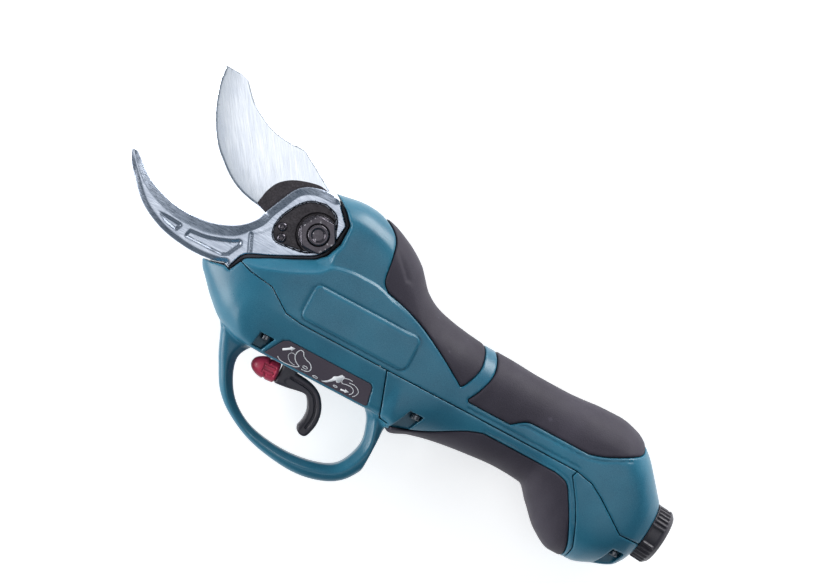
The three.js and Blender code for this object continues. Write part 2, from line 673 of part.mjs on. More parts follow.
const TOOTH_HEIGHT = 0.42;
const TOOTH_DEPTH = 0.62;

function spurGear(teeth, bore, x, width, turn) {
  const pitch = (GEAR_MODULE * teeth) / 2;
  const shape = new THREE.Shape(toothedOutline(teeth, pitch + TOOTH_HEIGHT, pitch - TOOTH_DEPTH, 0.1, 0.24));
  if (bore) shape.holes.push(new THREE.Path().absarc(0, 0, bore, 0, 2 * Math.PI));
  const settings = { depth: width, bevelEnabled: false, curveSegments: 6 };
  return solid(ontoDrive(new THREE.ExtrudeGeometry(shape, settings), x, turn));
}

function ringGear(x, width) {
  const pitch = (GEAR_MODULE * RING_TEETH) / 2;
  const shape = new THREE.Shape().absarc(0, 0, 14.6, 0, 2 * Math.PI);
  const inside = toothedOutline(RING_TEETH, pitch - TOOTH_HEIGHT, pitch + TOOTH_DEPTH, 0.1, 0.22);
  shape.holes.push(new THREE.Path(inside));
  const settings = { depth: width, bevelEnabled: false, curveSegments: 12 };
  return solid(ontoDrive(new THREE.ExtrudeGeometry(shape, settings), x));
}

const driveAt = [DRIVE_Y, 0];

function ballNut() {
  const cheek = (low, high) => block([PIN_X - 5, DRIVE_Y - 5.5, low], [PIN_X + 13, DRIVE_Y + 5.5, high]);
  const inner = BLADE_HALF + GAP;
  let made = cheek(inner, 6.1).add(cheek(-6.1, -inner));
  made = made.add(block([PIN_X + 11.6, DRIVE_Y - 5.5, -6.1], [PIN_X + 14.4, DRIVE_Y + 5.5, 6.1]));
  made = made.add(bar("x", 9, PIN_X + 14, 42, driveAt, 24));
  made = made.subtract(bar("x", SCREW_RADIUS + 0.4, PIN_X + 15, 50, driveAt));
  return made.subtract(bar("z", PIN_RADIUS + 0.1, -WIDE, WIDE, [PIN_X, DRIVE_Y], 16));
}

function addDrive() {
  addPiece("ball_nut", ballNut(), materials.steel);
  addPiece("yoke_pin", bar("z", PIN_RADIUS, -6.1, 6.1, [PIN_X, DRIVE_Y], 16), materials.steel);

  const screw = bar("x", SCREW_RADIUS, 27.5, 75, driveAt).add(bar("x", 3, 74, 76.5, driveAt, 12));
  addPiece("ball_screw", screw, materials.steel);
  const housing = sleeve("x", 15, 9.3, 66.5, 74.5, driveAt, 24);
  const ear = block([62, DRIVE_Y + 8, -14], [74.5, DRIVE_Y + 15, -8.2]);
  addPiece("bearing_block", housing.add(ear).subtract(bar("x", 9.3, 60, 80, driveAt, 24)), materials.forgedSteel);
  addPiece("screw_bearing", sleeve("x", 9, SCREW_RADIUS + 0.3, 67.2, 74, driveAt), materials.steel);

  let carrier = bar("x", 11.2, 76.8, 79.6, driveAt, 24);
  const planetPlaces = [0, 1, 2].map((i) => {
    const angle = (i * 2 * Math.PI) / 3;
    return { angle, y: DRIVE_Y + PLANET_ORBIT * Math.sin(angle), z: -PLANET_ORBIT * Math.cos(angle) };
  });
  for (const { y, z } of planetPlaces) carrier = carrier.add(bar("x", 1.5, 79, 88.2, [y, z], 10));
  addPiece("planet_carrier", carrier.subtract(bar("x", 1.6, 70, 90, driveAt, 10)), materials.steel);
  for (const [i, place] of planetPlaces.entries()) {
    const gear = geometryOf(spurGear(PLANET_TEETH, 1.75, 80, 7.6, place.angle + Math.PI / PLANET_TEETH));
    addPiece(`planet_gear_${i + 1}`, gear.translate(0, place.y - DRIVE_Y, place.z), materials.steel);
  }
  addPiece("ring_gear", ringGear(75, 15), materials.forgedSteel);
  addMotor();
}

function addMotor() {
  const shaft = bar("x", 2.5, 90, 153.5, driveAt, 12);
  const sun = spurGear(SUN_TEETH, 0, 80, 10.5, 0);
  addPiece("rotor_shaft", sun.add(shaft), materials.steel);
  addPiece("rotor_magnet", sleeve("x", 7.4, 2.8, 114, 144, driveAt, 16), materials.magnet);
  const arms = 6;
  const teeth = toothedOutline(arms, 8.2, 12.2, 0.36, 0.1);
  const core = new THREE.Shape().absarc(0, 0, 13, 0, 2 * Math.PI);
  core.holes.push(new THREE.Path(teeth));
  const settings = { depth: 30, bevelEnabled: false, curveSegments: 12 };
  const stator = new THREE.ExtrudeGeometry(core, settings);
  addPiece("stator", solid(ontoDrive(stator, 114)), materials.copper);
  addPiece("motor_can", sleeve("x", MOTOR_RADIUS, 13.3, 94.4, 150, driveAt, 24), materials.blackSteel);
  const front = sleeve("x", 13, 5.4, 90.4, 94, driveAt, 24);
  addPiece("motor_front_plate", front, materials.forgedSteel);
  addPiece("motor_bearing_front", sleeve("x", 5.1, 2.8, 90.9, 94, driveAt, 16), materials.steel);
  const end = bar("x", MOTOR_RADIUS, 150.3, 156, driveAt, 24).subtract(bar("x", 5.4, 149, 154.6, driveAt, 16));
  addPiece("motor_end_cap", end, materials.blackPlastic);
  addPiece("motor_bearing_rear", sleeve("x", 5.1, 2.8, 150.6, 153.6, driveAt, 16), materials.steel);
}

// ---- trigger -------------------------------------------------------------------------------------------

function triggerLever() {
  const [px, py] = TRIGGER_PIVOT;
  const lever = outline(
    [15.3, -61],
    [[15.3, -71]],
    [[17.3, -70.9]],
    [[22, -70.3], [30, -69], [33, -71], [35.4, -77], [34.5, -83.5]],
    [[35.5, -85.8], [38, -87], [40.6, -86]],
    [[42.4, -79], [41.6, -73], [38.3, -67.3], [33, -63.7], [23, -62.2]],
    [[22.5, -58]],
  );
  const made = chamferedPrism(lever, -TRIGGER_HALF, TRIGGER_HALF, 1.2, 2);
  const hub = bar("z", 5, -TRIGGER_HALF, TRIGGER_HALF, TRIGGER_PIVOT, 16);
  const neck = block([px - 2.6, py - 9, -TRIGGER_HALF + 0.4], [px + 4.5, py, TRIGGER_HALF - 0.4]);
  return made.add(hub).add(neck).subtract(bar("z", 2.3, -WIDE, WIDE, TRIGGER_PIVOT, 14));
}

// Axis of the lock knob on the front end of the lever.
const KNOB_START = [14.9, -66.4];
const KNOB_TURN = THREE.MathUtils.degToRad(3.5);

function lockKnob() {
  const profile = [
    [0, 0], [4.3, 0], [5.2, 1], [5.3, 4.5], [4.6, 5], [4.6, 5.8], [5.3, 6.3], [4.9, 8.5], [3.2, 11.8],
    [1.3, 13.4], [0, 13.5],
  ];
  return solid(new THREE.LatheGeometry(profile.map(([r, h]) => new THREE.Vector2(r, h)), 14));
}

function addTrigger() {
  addPiece("trigger", triggerLever(), materials.blackPlastic);
  addPiece("trigger_pin", bar("z", 2.0, -12, 12, TRIGGER_PIVOT, 12), materials.steel);
  const knob = new THREE.Group();
  knob.position.set(KNOB_START[0], KNOB_START[1], 0);
  knob.rotation.z = Math.PI / 2 + KNOB_TURN;
  addPiece("lock_knob", lockKnob(), materials.red, knob);
  group.add(knob);

  const turns = 2;
  const coil = new THREE.Curve();
  coil.getPoint = (t) => {
    const angle = t * turns * 2 * Math.PI;
    const [px, py] = TRIGGER_PIVOT;
    return new THREE.Vector3(px + 3.1 * Math.cos(angle), py + 3.1 * Math.sin(angle), 5.0 + 3.0 * t);
  };
  const wire = new THREE.Shape().absarc(0, 0, 0.45, 0, 2 * Math.PI);
  const settings = { steps: 20, extrudePath: coil, curveSegments: 3 };
  addPiece("trigger_spring", solid(new THREE.ExtrudeGeometry(wire, settings)), materials.steel);

  const body = block([26, -57, -4.6], [44, -46.5, 4.6]).add(block([30, -57.8, -1.5], [33, -56, 1.5]));
  addPiece("trigger_switch", body, materials.blackPlastic);
}

// ---- electronics and tail ------------------------------------------------------------------------------

// Places a solid drawn around y, counted from the tail's end face, on the connector's axis.
function ontoTail(geometry) {
  return geometry.rotateZ(-Math.PI / 2 + TAIL_TILT).translate(TAIL[0], TAIL[1], 0);
}

function turnedOnTail(profile, steps = 24) {
  return solid(ontoTail(new THREE.LatheGeometry(profile.map(([r, h]) => new THREE.Vector2(r, h)), steps)));
}

function connectorHole() {
  return turnedOnTail([[0, -12], [10.5, -12], [10.5, 5], [0, 5]]);
}

function couplingRing() {
  const inner = 11.4;
  let made = turnedOnTail([[inner, GAP], [14.1, GAP], [14.1, 7.6], [13.2, 9.6], [inner, 9.6], [inner, GAP]], 24);
  const ribs = 20;
  for (let i = 0; i < ribs; i++) {
    if (i % 5 > 2) continue;
    const rib = new THREE.BoxGeometry(1.2, 6.4, 1.3).translate(RING_RADIUS - 0.6, 3.9, 0);
    made = made.add(solid(ontoTail(rib.rotateY((i * 2 * Math.PI) / ribs))));
  }
  return made;
}

// Circuit board with its parts: switches, a chip, a capacitor and a plug, each by its corner and its size.
function addControllerBoard() {
  const face = -6.4;
  const parts = [
    [163, -54, 6, 5, 4], [163, -47, 6, 5, 4], [163, -40, 6, 5, 4], [172, -52, 9, 9, 2], [172, -38, 10, 10, 8],
    [164, -30, 12, 4, 3],
  ];
  let board = block([160, -58, -8], [186, -24, face]);
  for (const [x, y, w, h, t] of parts) board = board.add(block([x, y, face - 0.2], [x + w, y + h, face + t]));
  addPiece("controller_board", board, materials.board);
}

function addTail() {
  const socket = turnedOnTail([
    [0, -11.5], [10, -11.5], [10, 0.5], [11, 0.5], [11, 8.4], [9.4, 8.4], [9.4, -2], [0, -2],
  ]);
  addPiece("connector_socket", socket, materials.blackPlastic);
  for (let i = 0; i < 3; i++) {
    const angle = (i * 2 * Math.PI) / 3;
    const pin = new THREE.CylinderGeometry(0.9, 0.9, 7, 8);
    pin.translate(6.4 * Math.cos(angle), 1.9, 6.4 * Math.sin(angle));
    addPiece(`connector_pin_${i + 1}`, solid(ontoTail(pin)), materials.bronze);
  }
  addPiece("coupling_ring", couplingRing(), materials.blackPlastic);

  addControllerBoard();
}

addHousing();
addHousingScrews();
addHead();
addDrive();
addTrigger();
addTail();

// Origin under the middle of the whole tool.
const box = new THREE.Box3().setFromObject(group);
group.position.set(-(box.min.x + box.max.x) / 2, -(box.min.y + box.max.y) / 2, -box.min.z);

export default group;
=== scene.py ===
"""Battery electric pruner, hand unit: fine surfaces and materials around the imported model.

Shapes are drawn in design millimetres: x from the blades to the tail, y from the finger guard to the back
of the tool, z out of the left flank, with the blades' pivot at 0, 0, 0. Most pieces are signed distance
fields (negative inside) that are sampled on a grid and turned into meshes with rounded edges.
"""
import json
import math

import bmesh
import bpy
import numpy as np
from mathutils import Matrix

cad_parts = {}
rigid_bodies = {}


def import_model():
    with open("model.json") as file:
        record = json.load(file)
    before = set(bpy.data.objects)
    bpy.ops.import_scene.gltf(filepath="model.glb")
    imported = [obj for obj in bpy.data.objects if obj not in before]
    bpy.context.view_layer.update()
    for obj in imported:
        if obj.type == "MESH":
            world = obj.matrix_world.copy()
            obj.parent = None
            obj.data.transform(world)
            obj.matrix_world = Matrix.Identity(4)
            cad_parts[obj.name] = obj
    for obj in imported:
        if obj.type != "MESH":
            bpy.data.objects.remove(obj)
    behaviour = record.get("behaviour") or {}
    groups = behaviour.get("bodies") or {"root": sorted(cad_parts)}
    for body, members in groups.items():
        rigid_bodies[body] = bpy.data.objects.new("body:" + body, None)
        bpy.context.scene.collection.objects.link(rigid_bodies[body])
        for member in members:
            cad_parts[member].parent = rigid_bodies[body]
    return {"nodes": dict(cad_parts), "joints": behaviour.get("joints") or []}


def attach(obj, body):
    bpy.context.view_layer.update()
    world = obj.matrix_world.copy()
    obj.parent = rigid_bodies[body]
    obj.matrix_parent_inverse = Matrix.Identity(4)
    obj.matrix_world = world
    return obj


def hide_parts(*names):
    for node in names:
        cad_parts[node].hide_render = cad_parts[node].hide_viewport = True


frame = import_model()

import openvdb
from mathutils import Matrix, Vector
from mathutils.geometry import tessellate_polygon

for leftover in [o for o in bpy.data.objects if o.type in ("LIGHT", "CAMERA") or o.name == "Cube"]:
    bpy.data.objects.remove(leftover)
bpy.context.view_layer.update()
joint = {j["name"]: j for j in frame["joints"]}
PIVOT = Vector(joint["blade_swing"]["pos_m"])  # the design origin in the row frame, in metres
COARSE = 1.0

GAP = 0.3  # between neighbouring pieces
SHELL = 3.4  # wall of the housing
PAD = 1.8  # thickness of the soft grip pads
FLANK = 23.0  # half width of the flat flank below the pivot
LAND = 23.5  # half width of the raised panel and of the tail
PARTING = -40.0  # height of the line where the lower shells meet the upper housing
FLANK_LEAN = 0.16  # how much the flank leans in below the parting line
RING_FACE = 8.4  # left face of the counter blade
RECESS_FACE = 5.0  # floor of the recess around the pivot nut
BLADE_HALF = 1.8  # half thickness of the cutting blade
TRIGGER_PIVOT = (18, -53)
TAIL = (203.2, -50.3)  # centre of the tail's end face
TAIL_TILT = -0.084  # the end face leans by this angle
BORE_RADIUS = 10.6  # of the opening for the connector
LOOP_HALF = 8.0  # half width of the finger loop
PANEL_MOAT = 0.4  # depth of the line around the raised panel


# ---- fields ---------------------------------------------------------------------------------------------

class Grid:
    """Sample points of a box. A mirrored grid holds z >= 0 and stands for both halves."""

    def __init__(self, low, high, step, mirrored=False):
        self.step = step * COARSE
        self.mirrored = mirrored
        self.low = (low[0], low[1], 0.0 if mirrored else low[2])
        axes = []
        for start, end in zip(self.low, high):
            count = int(math.ceil((end - start) / self.step)) + 1
            axes.append((start + self.step * np.arange(count)).astype(np.float32))
        self.x = axes[0][:, None, None]
        self.y = axes[1][None, :, None]
        self.z = axes[2][None, None, :]
        self.shape = tuple(len(a) for a in axes)


def both(a, b, radius=0.0):
    """The overlap of two fields, with its rim rounded."""
    if not radius:
        return np.maximum(a, b)
    rim = np.sqrt(np.maximum(a + radius, 0) ** 2 + np.maximum(b + radius, 0) ** 2)
    return np.minimum(np.maximum(a, b), -radius) + rim


def joined(a, b, radius=0.0):
    """Two fields as one, with a fillet between them."""
    return -both(-a, -b, radius)


def cut(a, b, radius=0.0):
    return both(a, -b, radius)


def step_up(value, start, end):
    """0 before start and 1 after end, with a smooth rise between."""
    t = np.clip((value - start) / (end - start), 0, 1)
    return t * t * (3 - 2 * t)


def through(points, at):
    """Height of a smooth line without overshoot through points, at these places."""
    xs, ys = (np.array(column, float) for column in zip(*points))
    run = np.diff(xs)
    slope = np.diff(ys) / run
    turn = np.zeros(len(xs))
    turn[0], turn[-1] = slope[0], slope[-1]
    for i in range(1, len(slope)):
        if slope[i - 1] * slope[i] > 0:
            first, second = 2 * run[i] + run[i - 1], run[i] + 2 * run[i - 1]
            turn[i] = (first + second) / (first / slope[i - 1] + second / slope[i])
    at = np.clip(at, xs[0], xs[-1])
    i = np.clip(np.searchsorted(xs, at, side="right") - 1, 0, len(run) - 1)
    t = (at - xs[i]) / run[i]
    start = ys[i] * (1 + 2 * t) * (1 - t) ** 2 + run[i] * turn[i] * t * (1 - t) ** 2
    end = ys[i + 1] * t * t * (3 - 2 * t) - run[i] * turn[i + 1] * t * t * (1 - t)
    return (start + end).astype(np.float32)


def curve(start, *stretches, steps=8):
    """Points of a line: a stretch of one point is straight, one of several is a smooth curve."""
    made = [np.array(start, float)]
    for stretch in stretches:
        stops = [made[-1]] + [np.array(p, float) for p in stretch]
        if len(stops) == 2:
            made.append(stops[1])
            continue
        padded = [stops[0]] + stops + [stops[-1]]
        for a, b, c, d in zip(padded, padded[1:], padded[2:], padded[3:]):
            for i in range(1, steps + 1):
                t = i / steps
                bend = (2 * b + (c - a) * t + (2 * a - 5 * b + 4 * c - d) * t * t
                        + (3 * b - a - 3 * c + d) * t ** 3)
                made.append(bend / 2)
    return np.array(made)


def smooth(points):
    """Points of one smooth curve through all of these."""
    return curve(points[0], points[1:])


def near_line(grid, points, closed=False):
    """Distance to a line of the side view, the same at every depth."""
    points = np.asarray(points, float)
    px, py = grid.x[:, :, 0], grid.y[:, :, 0]
    nearest = np.full(grid.shape[:2], 1e9, np.float32)
    ends = np.roll(points, -1, 0) if closed else points[1:]
    for (ax, ay), (bx, by) in zip(points, ends):
        ex, ey = bx - ax, by - ay
        length = ex * ex + ey * ey
        if length < 1e-9:
            continue
        t = np.clip(((px - ax) * ex + (py - ay) * ey) / length, 0, 1)
        np.minimum(nearest, (px - ax - t * ex) ** 2 + (py - ay - t * ey) ** 2, out=nearest)
    return np.sqrt(nearest)[:, :, None]


def outline(grid, points):
    """Signed distance to a closed outline of the side view, the same at every depth."""
    points = np.asarray(points, float)
    px, py = grid.x[:, :, 0], grid.y[:, :, 0]
    inside = np.zeros(grid.shape[:2], bool)
    for (ax, ay), (bx, by) in zip(points, np.roll(points, -1, 0)):
        if abs(by - ay) > 1e-9:
            inside ^= ((ay > py) != (by > py)) & (px < ax + (py - ay) * (bx - ax) / (by - ay))
    return near_line(grid, points, closed=True) * np.where(inside, -1, 1)[:, :, None]


def bar(grid, axis, radius, low, high, place):
    """A round bar along x, y or z. place gives the two other coordinates, in x, y, z order."""
    along = {"x": grid.x, "y": grid.y, "z": grid.z}
    run = along.pop(axis)
    off = [value - middle for value, middle in zip(along.values(), place)]
    round_part = np.sqrt(off[0] ** 2 + off[1] ** 2) - radius
    return both(round_part, np.abs(run - (low + high) / 2) - (high - low) / 2)


def hexagon(grid, half, turn=0):
    """A hexagon bar along z. half is half its width across flats; turn is in degrees."""
    angles = [math.radians(60 * i + turn) for i in range(6)]
    return np.maximum.reduce([grid.x * math.cos(a) + grid.y * math.sin(a) for a in angles]) - half


def off_axis(grid):
    """Distance from the grid's z axis, which is the pivot's axis in the head."""
    return np.sqrt(grid.x ** 2 + grid.y ** 2)


def block(grid, low, high):
    sides = [np.abs(v - (a + b) / 2) - (b - a) / 2 for v, a, b in zip((grid.x, grid.y, grid.z), low, high)]
    return both(both(sides[0], sides[1]), sides[2])


def true_distance(grid, field):
    """A field scaled so that it is near to a distance around its surface."""
    parts = np.gradient(field, grid.step)
    steep = np.sqrt(sum(p * p for p in parts))
    return field / np.maximum(steep, 0.02)


# ---- meshes ---------------------------------------------------------------------------------------------

def largest_island(count, faces):
    """Which points hang together in the largest part of a mesh."""
    label = np.arange(count)
    edges = np.concatenate([np.stack([f, np.roll(f, -1, 1)], 2).reshape(-1, 2) for f in faces if len(f)])
    while True:
        low = np.minimum(label[edges[:, 0]], label[edges[:, 1]])
        new = label.copy()
        np.minimum.at(new, edges[:, 0], low)
        np.minimum.at(new, edges[:, 1], low)
        new = new[new]
        new = new[new]
        if np.array_equal(new, label):
            break
        label = new
    names, counts = np.unique(label, return_counts=True)
    return label == names[counts.argmax()]


def mesh_object(name, points, faces):
    """An object from points in the row frame and a list of face arrays, one for each corner count."""
    mesh = bpy.data.meshes.new(name)
    faces = [f for f in faces if len(f)]
    corners = np.concatenate([f.reshape(-1) for f in faces]).astype(np.int32)
    sizes = np.concatenate([np.full(len(f), f.shape[1]) for f in faces])
    starts = np.concatenate([[0], np.cumsum(sizes)[:-1]]).astype(np.int32)
    mesh.vertices.add(len(points))
    mesh.vertices.foreach_set("co", np.asarray(points, np.float32).reshape(-1))
    mesh.loops.add(len(corners))
    mesh.loops.foreach_set("vertex_index", corners)
    mesh.polygons.add(len(sizes))
    mesh.polygons.foreach_set("loop_start", starts)
    mesh.update(calc_edges=True)
    mesh.validate()
    mesh.shade_smooth()
    made = bpy.data.objects.new(name, mesh)
    bpy.context.scene.collection.objects.link(made)
    return made


def to_row(points):
    return np.asarray(points) / 1000 + np.array(PIVOT)


def settle(made, skin, body, nodes):
    """Gives a piece its finish and its body, and hides the CAD nodes that it stands for."""
    material, slot_name = skin
    made.data.materials.append(material)
    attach(made, body)
    if nodes:
        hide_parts(*nodes)
    return made


def from_field(name, grid, field, skin, body="body", nodes=(), flatness=0.0012):
    """The surface of a field as a piece of the object. flatness lets faces grow where it hardly bends."""
    values = np.broadcast_to(np.clip(field / grid.step, -3, 3), grid.shape).astype(np.float32)
    low = np.array(grid.low)
    if grid.mirrored:
        values = np.concatenate([values[:, :, :0:-1], values], axis=2)
        low[2] = -grid.step * (grid.shape[2] - 1)
    volume = openvdb.FloatGrid(3.0)
    volume.copyFromArray(np.ascontiguousarray(values))
    points, triangles, quads = volume.convertToPolygons(isovalue=0.0, adaptivity=flatness)
    keep = largest_island(len(points), [triangles, quads])
    index = np.cumsum(keep) - 1
    faces = [index[f[keep[f[:, 0]]]] for f in (triangles, quads) if len(f)]
    made = mesh_object(name, to_row(points[keep] * grid.step + low), faces)
    return settle(made, skin, body, nodes)


def turned(name, profile, place, axis, skin, body="body", nodes=(), around=96):
    """A turned piece: (radius, height) corners from end to end along an axis that starts at place."""
    direction = Vector(axis).normalized()
    to_axis = Vector((0, 0, 1)).rotation_difference(direction).to_matrix()
    points = []
    for radius, height in profile:
        for i in range(around):
            angle = 2 * math.pi * i / around
            local = Vector((radius * math.cos(angle), radius * math.sin(angle), height))
            points.append(Vector(place) + to_axis @ local)
    quads = []
    rows = len(profile)
    for r in range(rows - 1):
        for i in range(around):
            after = (i + 1) % around
            quads.append((r * around + i, r * around + after, (r + 1) * around + after, (r + 1) * around + i))
    made = mesh_object(name, to_row(points), [np.array(quads)])
    weld(made)
    return settle(made, skin, body, nodes)


def weld(made):
    """Merges points that lie on each other and makes every face look out."""
    shape = bmesh.new()
    shape.from_mesh(made.data)
    bmesh.ops.remove_doubles(shape, verts=shape.verts, dist=1e-6)
    bmesh.ops.dissolve_degenerate(shape, edges=shape.edges, dist=1e-7)
    bmesh.ops.recalc_face_normals(shape, faces=shape.faces)
    shape.to_mesh(made.data)
    shape.free()
    made.data.shade_smooth()


# ---- finishes -------------------------------------------------------------------------------------------

def rgb(red, green, blue):
    """A screen colour, 0 to 255, as the linear colour that shaders take."""
    return tuple(((v / 255 + 0.055) / 1.055) ** 2.4 for v in (red, green, blue)) + (1.0,)


class Nodes:
    """A material's node tree, with short calls to add nodes and to link them."""

    def __init__(self, name):
        self.material = bpy.data.materials.new(name)
        self.material.use_nodes = True
        self.tree = self.material.node_tree
        self.shader = self.tree.nodes["Principled BSDF"]
        self.place = self.add("TexCoord").outputs["Object"]

    def add(self, kind, inputs=None, **settings):
        made = self.tree.nodes.new("ShaderNode" + kind)
        for name, value in settings.items():
            setattr(made, name, value)
        for name, value in (inputs or {}).items():
            self.set(made.inputs[name], value)
        return made

    def set(self, socket, value):
        if isinstance(value, bpy.types.NodeSocket):
            self.tree.links.new(value, socket)
        else:
            socket.default_value = value

    def noise(self, millimetres, detail=2.0, stretch=(1, 1, 1), turn=0.0):
        """Noise with features of about this size, stretched along axes that are turned about z."""
        scale = tuple(millimetres * s / 1000 for s in stretch)
        sizes = {"Vector": self.place, "Scale": scale, "Rotation": (0, 0, turn)}
        moved = self.add("Mapping", sizes, vector_type="TEXTURE")
        return self.add("TexNoise", {"Vector": moved.outputs[0], "Scale": 1.0, "Detail": detail}).outputs[0]

    def cells(self, millimetres):
        moved = self.add("Mapping", {"Vector": self.place, "Scale": (1000 / millimetres,) * 3})
        return self.add("TexVoronoi", {"Vector": moved.outputs[0], "Scale": 1.0}).outputs["Distance"]

    def spread(self, value, low, high, start=0.3, end=0.7):
        """Maps a value from start..end to low..high."""
        inputs = {"Value": value, "From Min": start, "From Max": end, "To Min": low, "To Max": high}
        return self.add("MapRange", inputs).outputs[0]

    def blend(self, share, first, second):
        mix = self.add("Mix", data_type="RGBA")
        self.set(mix.inputs["Factor"], share)
        self.set(mix.inputs["A"], first)
        self.set(mix.inputs["B"], second)
        return mix.outputs["Result"]

    def plus(self, first, second, weight):
        made = self.add("Math", operation="MULTIPLY_ADD")
        for socket, value in zip(made.inputs, (second, weight, first)):
            self.set(socket, value)
        return made.outputs[0]

    def edges(self, low, high):
        """1 on convex edges and 0 elsewhere."""
        return self.spread(self.add("NewGeometry").outputs["Pointiness"], 0.0, 1.0, low, high)

    def finish(self, color, roughness, height=None, depth=0.02, **constants):
        self.set(self.shader.inputs["Base Color"], color)
        self.set(self.shader.inputs["Roughness"], roughness)
        if height is not None:
            bump = self.add("Bump", {"Height": height, "Distance": depth / 1000, "Strength": 1.0})
            self.set(self.shader.inputs["Normal"], bump.outputs[0])
        for name, value in constants.items():
            self.shader.inputs[name.replace("_", " ")].default_value = value
        return self.material


def moulded(name, color, shade, light, grain, depth, roughness, **constants):
    """Moulded plastic or rubber: slow colour change, a fine spark-eroded grain and a painted highlight on
    convex edges.
    """
    n = Nodes(name)
    slow = n.spread(n.noise(26.0), 0.0, 1.0, 0.35, 0.65)
    base = n.blend(slow, rgb(*shade), rgb(*color))
    fine = n.noise(grain, 4.0)
    base = n.blend(n.spread(fine, 0.0, 0.22), base, rgb(*light))
    # Painted highlight: convex edges are mixed towards the light colour.
    base = n.blend(n.plus(0.0, n.edges(0.54, 0.64), 0.4), base, rgb(*light))
    height = n.plus(fine, n.cells(grain * 1.7), 0.6)
    rough = n.spread(n.plus(n.noise(9.0), fine, 0.4), roughness - 0.05, roughness + 0.06, 0.4, 1.0)
    return n.finish(base, rough, height, depth, **constants)


def ground(name, color, shade, roughness, stretch, streak, depth=0.004, turn=0.0):
    """Ground or brushed steel: long fine streaks, faint stains and a painted highlight on convex edges."""
    n = Nodes(name)
    lines = n.noise(streak, 3.0, stretch, turn)
    stain = n.spread(n.noise(14.0, 3.0), 0.0, 0.55, 0.35, 0.75)
    base = n.blend(stain, rgb(*color), rgb(*shade))
    wide = n.noise(streak * 5, 2.0, stretch, turn)
    base = n.blend(n.spread(n.plus(lines, wide, 1.0), 0.0, 0.5, 0.7, 1.3), base, rgb(*shade))
    # Painted highlight: convex edges are mixed towards near white.
    base = n.blend(n.plus(0.0, n.edges(0.55, 0.65), 0.4), base, rgb(245, 247, 250))
    rough = n.spread(lines, roughness - 0.06, roughness + 0.1)
    return n.finish(base, rough, lines, depth, Metallic=1.0)


def coated(name, color, light, roughness, metallic=0.6, spotted=0.35, depth=0.008):
    """Black oxide, zinc or bronze: a thin skin with small spots, and worn edges that also carry a painted
    highlight.
    """
    n = Nodes(name)
    spots = n.noise(0.8, 4.0)
    base = n.blend(n.spread(spots, 0.0, spotted), rgb(*color), rgb(*light))
    # Convex edges mixed towards the light colour: worn skin together with a painted highlight.
    base = n.blend(n.plus(0.0, n.edges(0.53, 0.62), 0.7), base, rgb(*light))
    rough = n.spread(n.noise(3.0, 3.0), roughness - 0.06, roughness + 0.1)
    return n.finish(base, rough, spots, depth, Metallic=metallic)


def laminated(name, color, light, pitch):
    """Windings or stacked sheets: fine lines across the drive's axis."""
    n = Nodes(name)
    moved = n.add("Mapping", {"Vector": n.place, "Scale": (1000 / pitch,) * 3})
    wave = n.add("TexWave", {"Vector": moved.outputs[0], "Scale": 0.3, "Distortion": 0.6}).outputs[1]
    base = n.blend(n.spread(wave, 0.0, 1.0), rgb(*color), rgb(*light))
    return n.finish(base, n.spread(n.noise(2.0), 0.3, 0.5), wave, 0.05, Metallic=0.7)


FINISHES = {
    "shell_plastic": moulded("teal_plastic", (34, 104, 130), (26, 90, 116), (92, 166, 188), 0.34, 0.022, 0.32,
                             Specular_IOR_Level=0.45),
    "grip_rubber": moulded("soft_grip", (60, 56, 66), (49, 45, 54), (88, 83, 96), 0.42, 0.05, 0.58,
                           Specular_IOR_Level=0.22),
    "label_film": moulded("label_film", (72, 64, 75), (66, 58, 69), (88, 80, 92), 0.5, 0.004, 0.42),
    "black_plastic": moulded("dark_plastic", (58, 54, 62), (48, 45, 52), (96, 92, 102), 0.3, 0.02, 0.42),
    "red_plastic": moulded("raspberry_plastic", (204, 56, 88), (186, 44, 76), (232, 112, 136), 0.36, 0.014,
                           0.34),
    "circuit_board": moulded("circuit_board", (34, 96, 60), (26, 78, 50), (150, 160, 110), 1.4, 0.05, 0.45),
    "blade_steel": ground("ground_blade", (240, 244, 250), (214, 222, 236), 0.22, (1, 40, 1), 0.3, 0.0015,
                          0.62),
    "forged_steel": ground("forged_hook", (206, 214, 228), (164, 174, 192), 0.27, (9, 1, 1), 0.5, 0.002),
    "machined_steel": ground("machined_steel", (196, 199, 204), (150, 154, 160), 0.28, (1, 9, 9), 0.3),
    "black_steel": coated("black_oxide", (40, 36, 40), (122, 118, 125), 0.3, 0.6, 0.22, 0.004),
    "bronze": coated("bronze", (176, 140, 84), (214, 184, 130), 0.34, 1.0),
    "zinc_screws": coated("dark_zinc", (92, 94, 99), (176, 179, 184), 0.3, 1.0),
    "magnet": coated("sintered_magnet", (70, 72, 78), (110, 112, 118), 0.5, 0.6),
    "copper_winding": laminated("windings", (150, 84, 48), (206, 132, 84), 0.9),
}

# Second finishes: the pivot's nut and bolt are paler than the plate under them.
PIVOT_STEEL = coated("pivot_oxide", (74, 70, 77), (190, 188, 194), 0.22, 0.8, 0.06, 0.002)
PRINT = moulded("white_print", (226, 228, 232), (206, 208, 214), (240, 242, 245), 0.5, 0.002, 0.5)


def finish(slot_name):
    """The skin of a piece: its material and its slot."""
    return FINISHES[slot_name], slot_name


# ---- body form ------------------------------------------------------------------------------------------

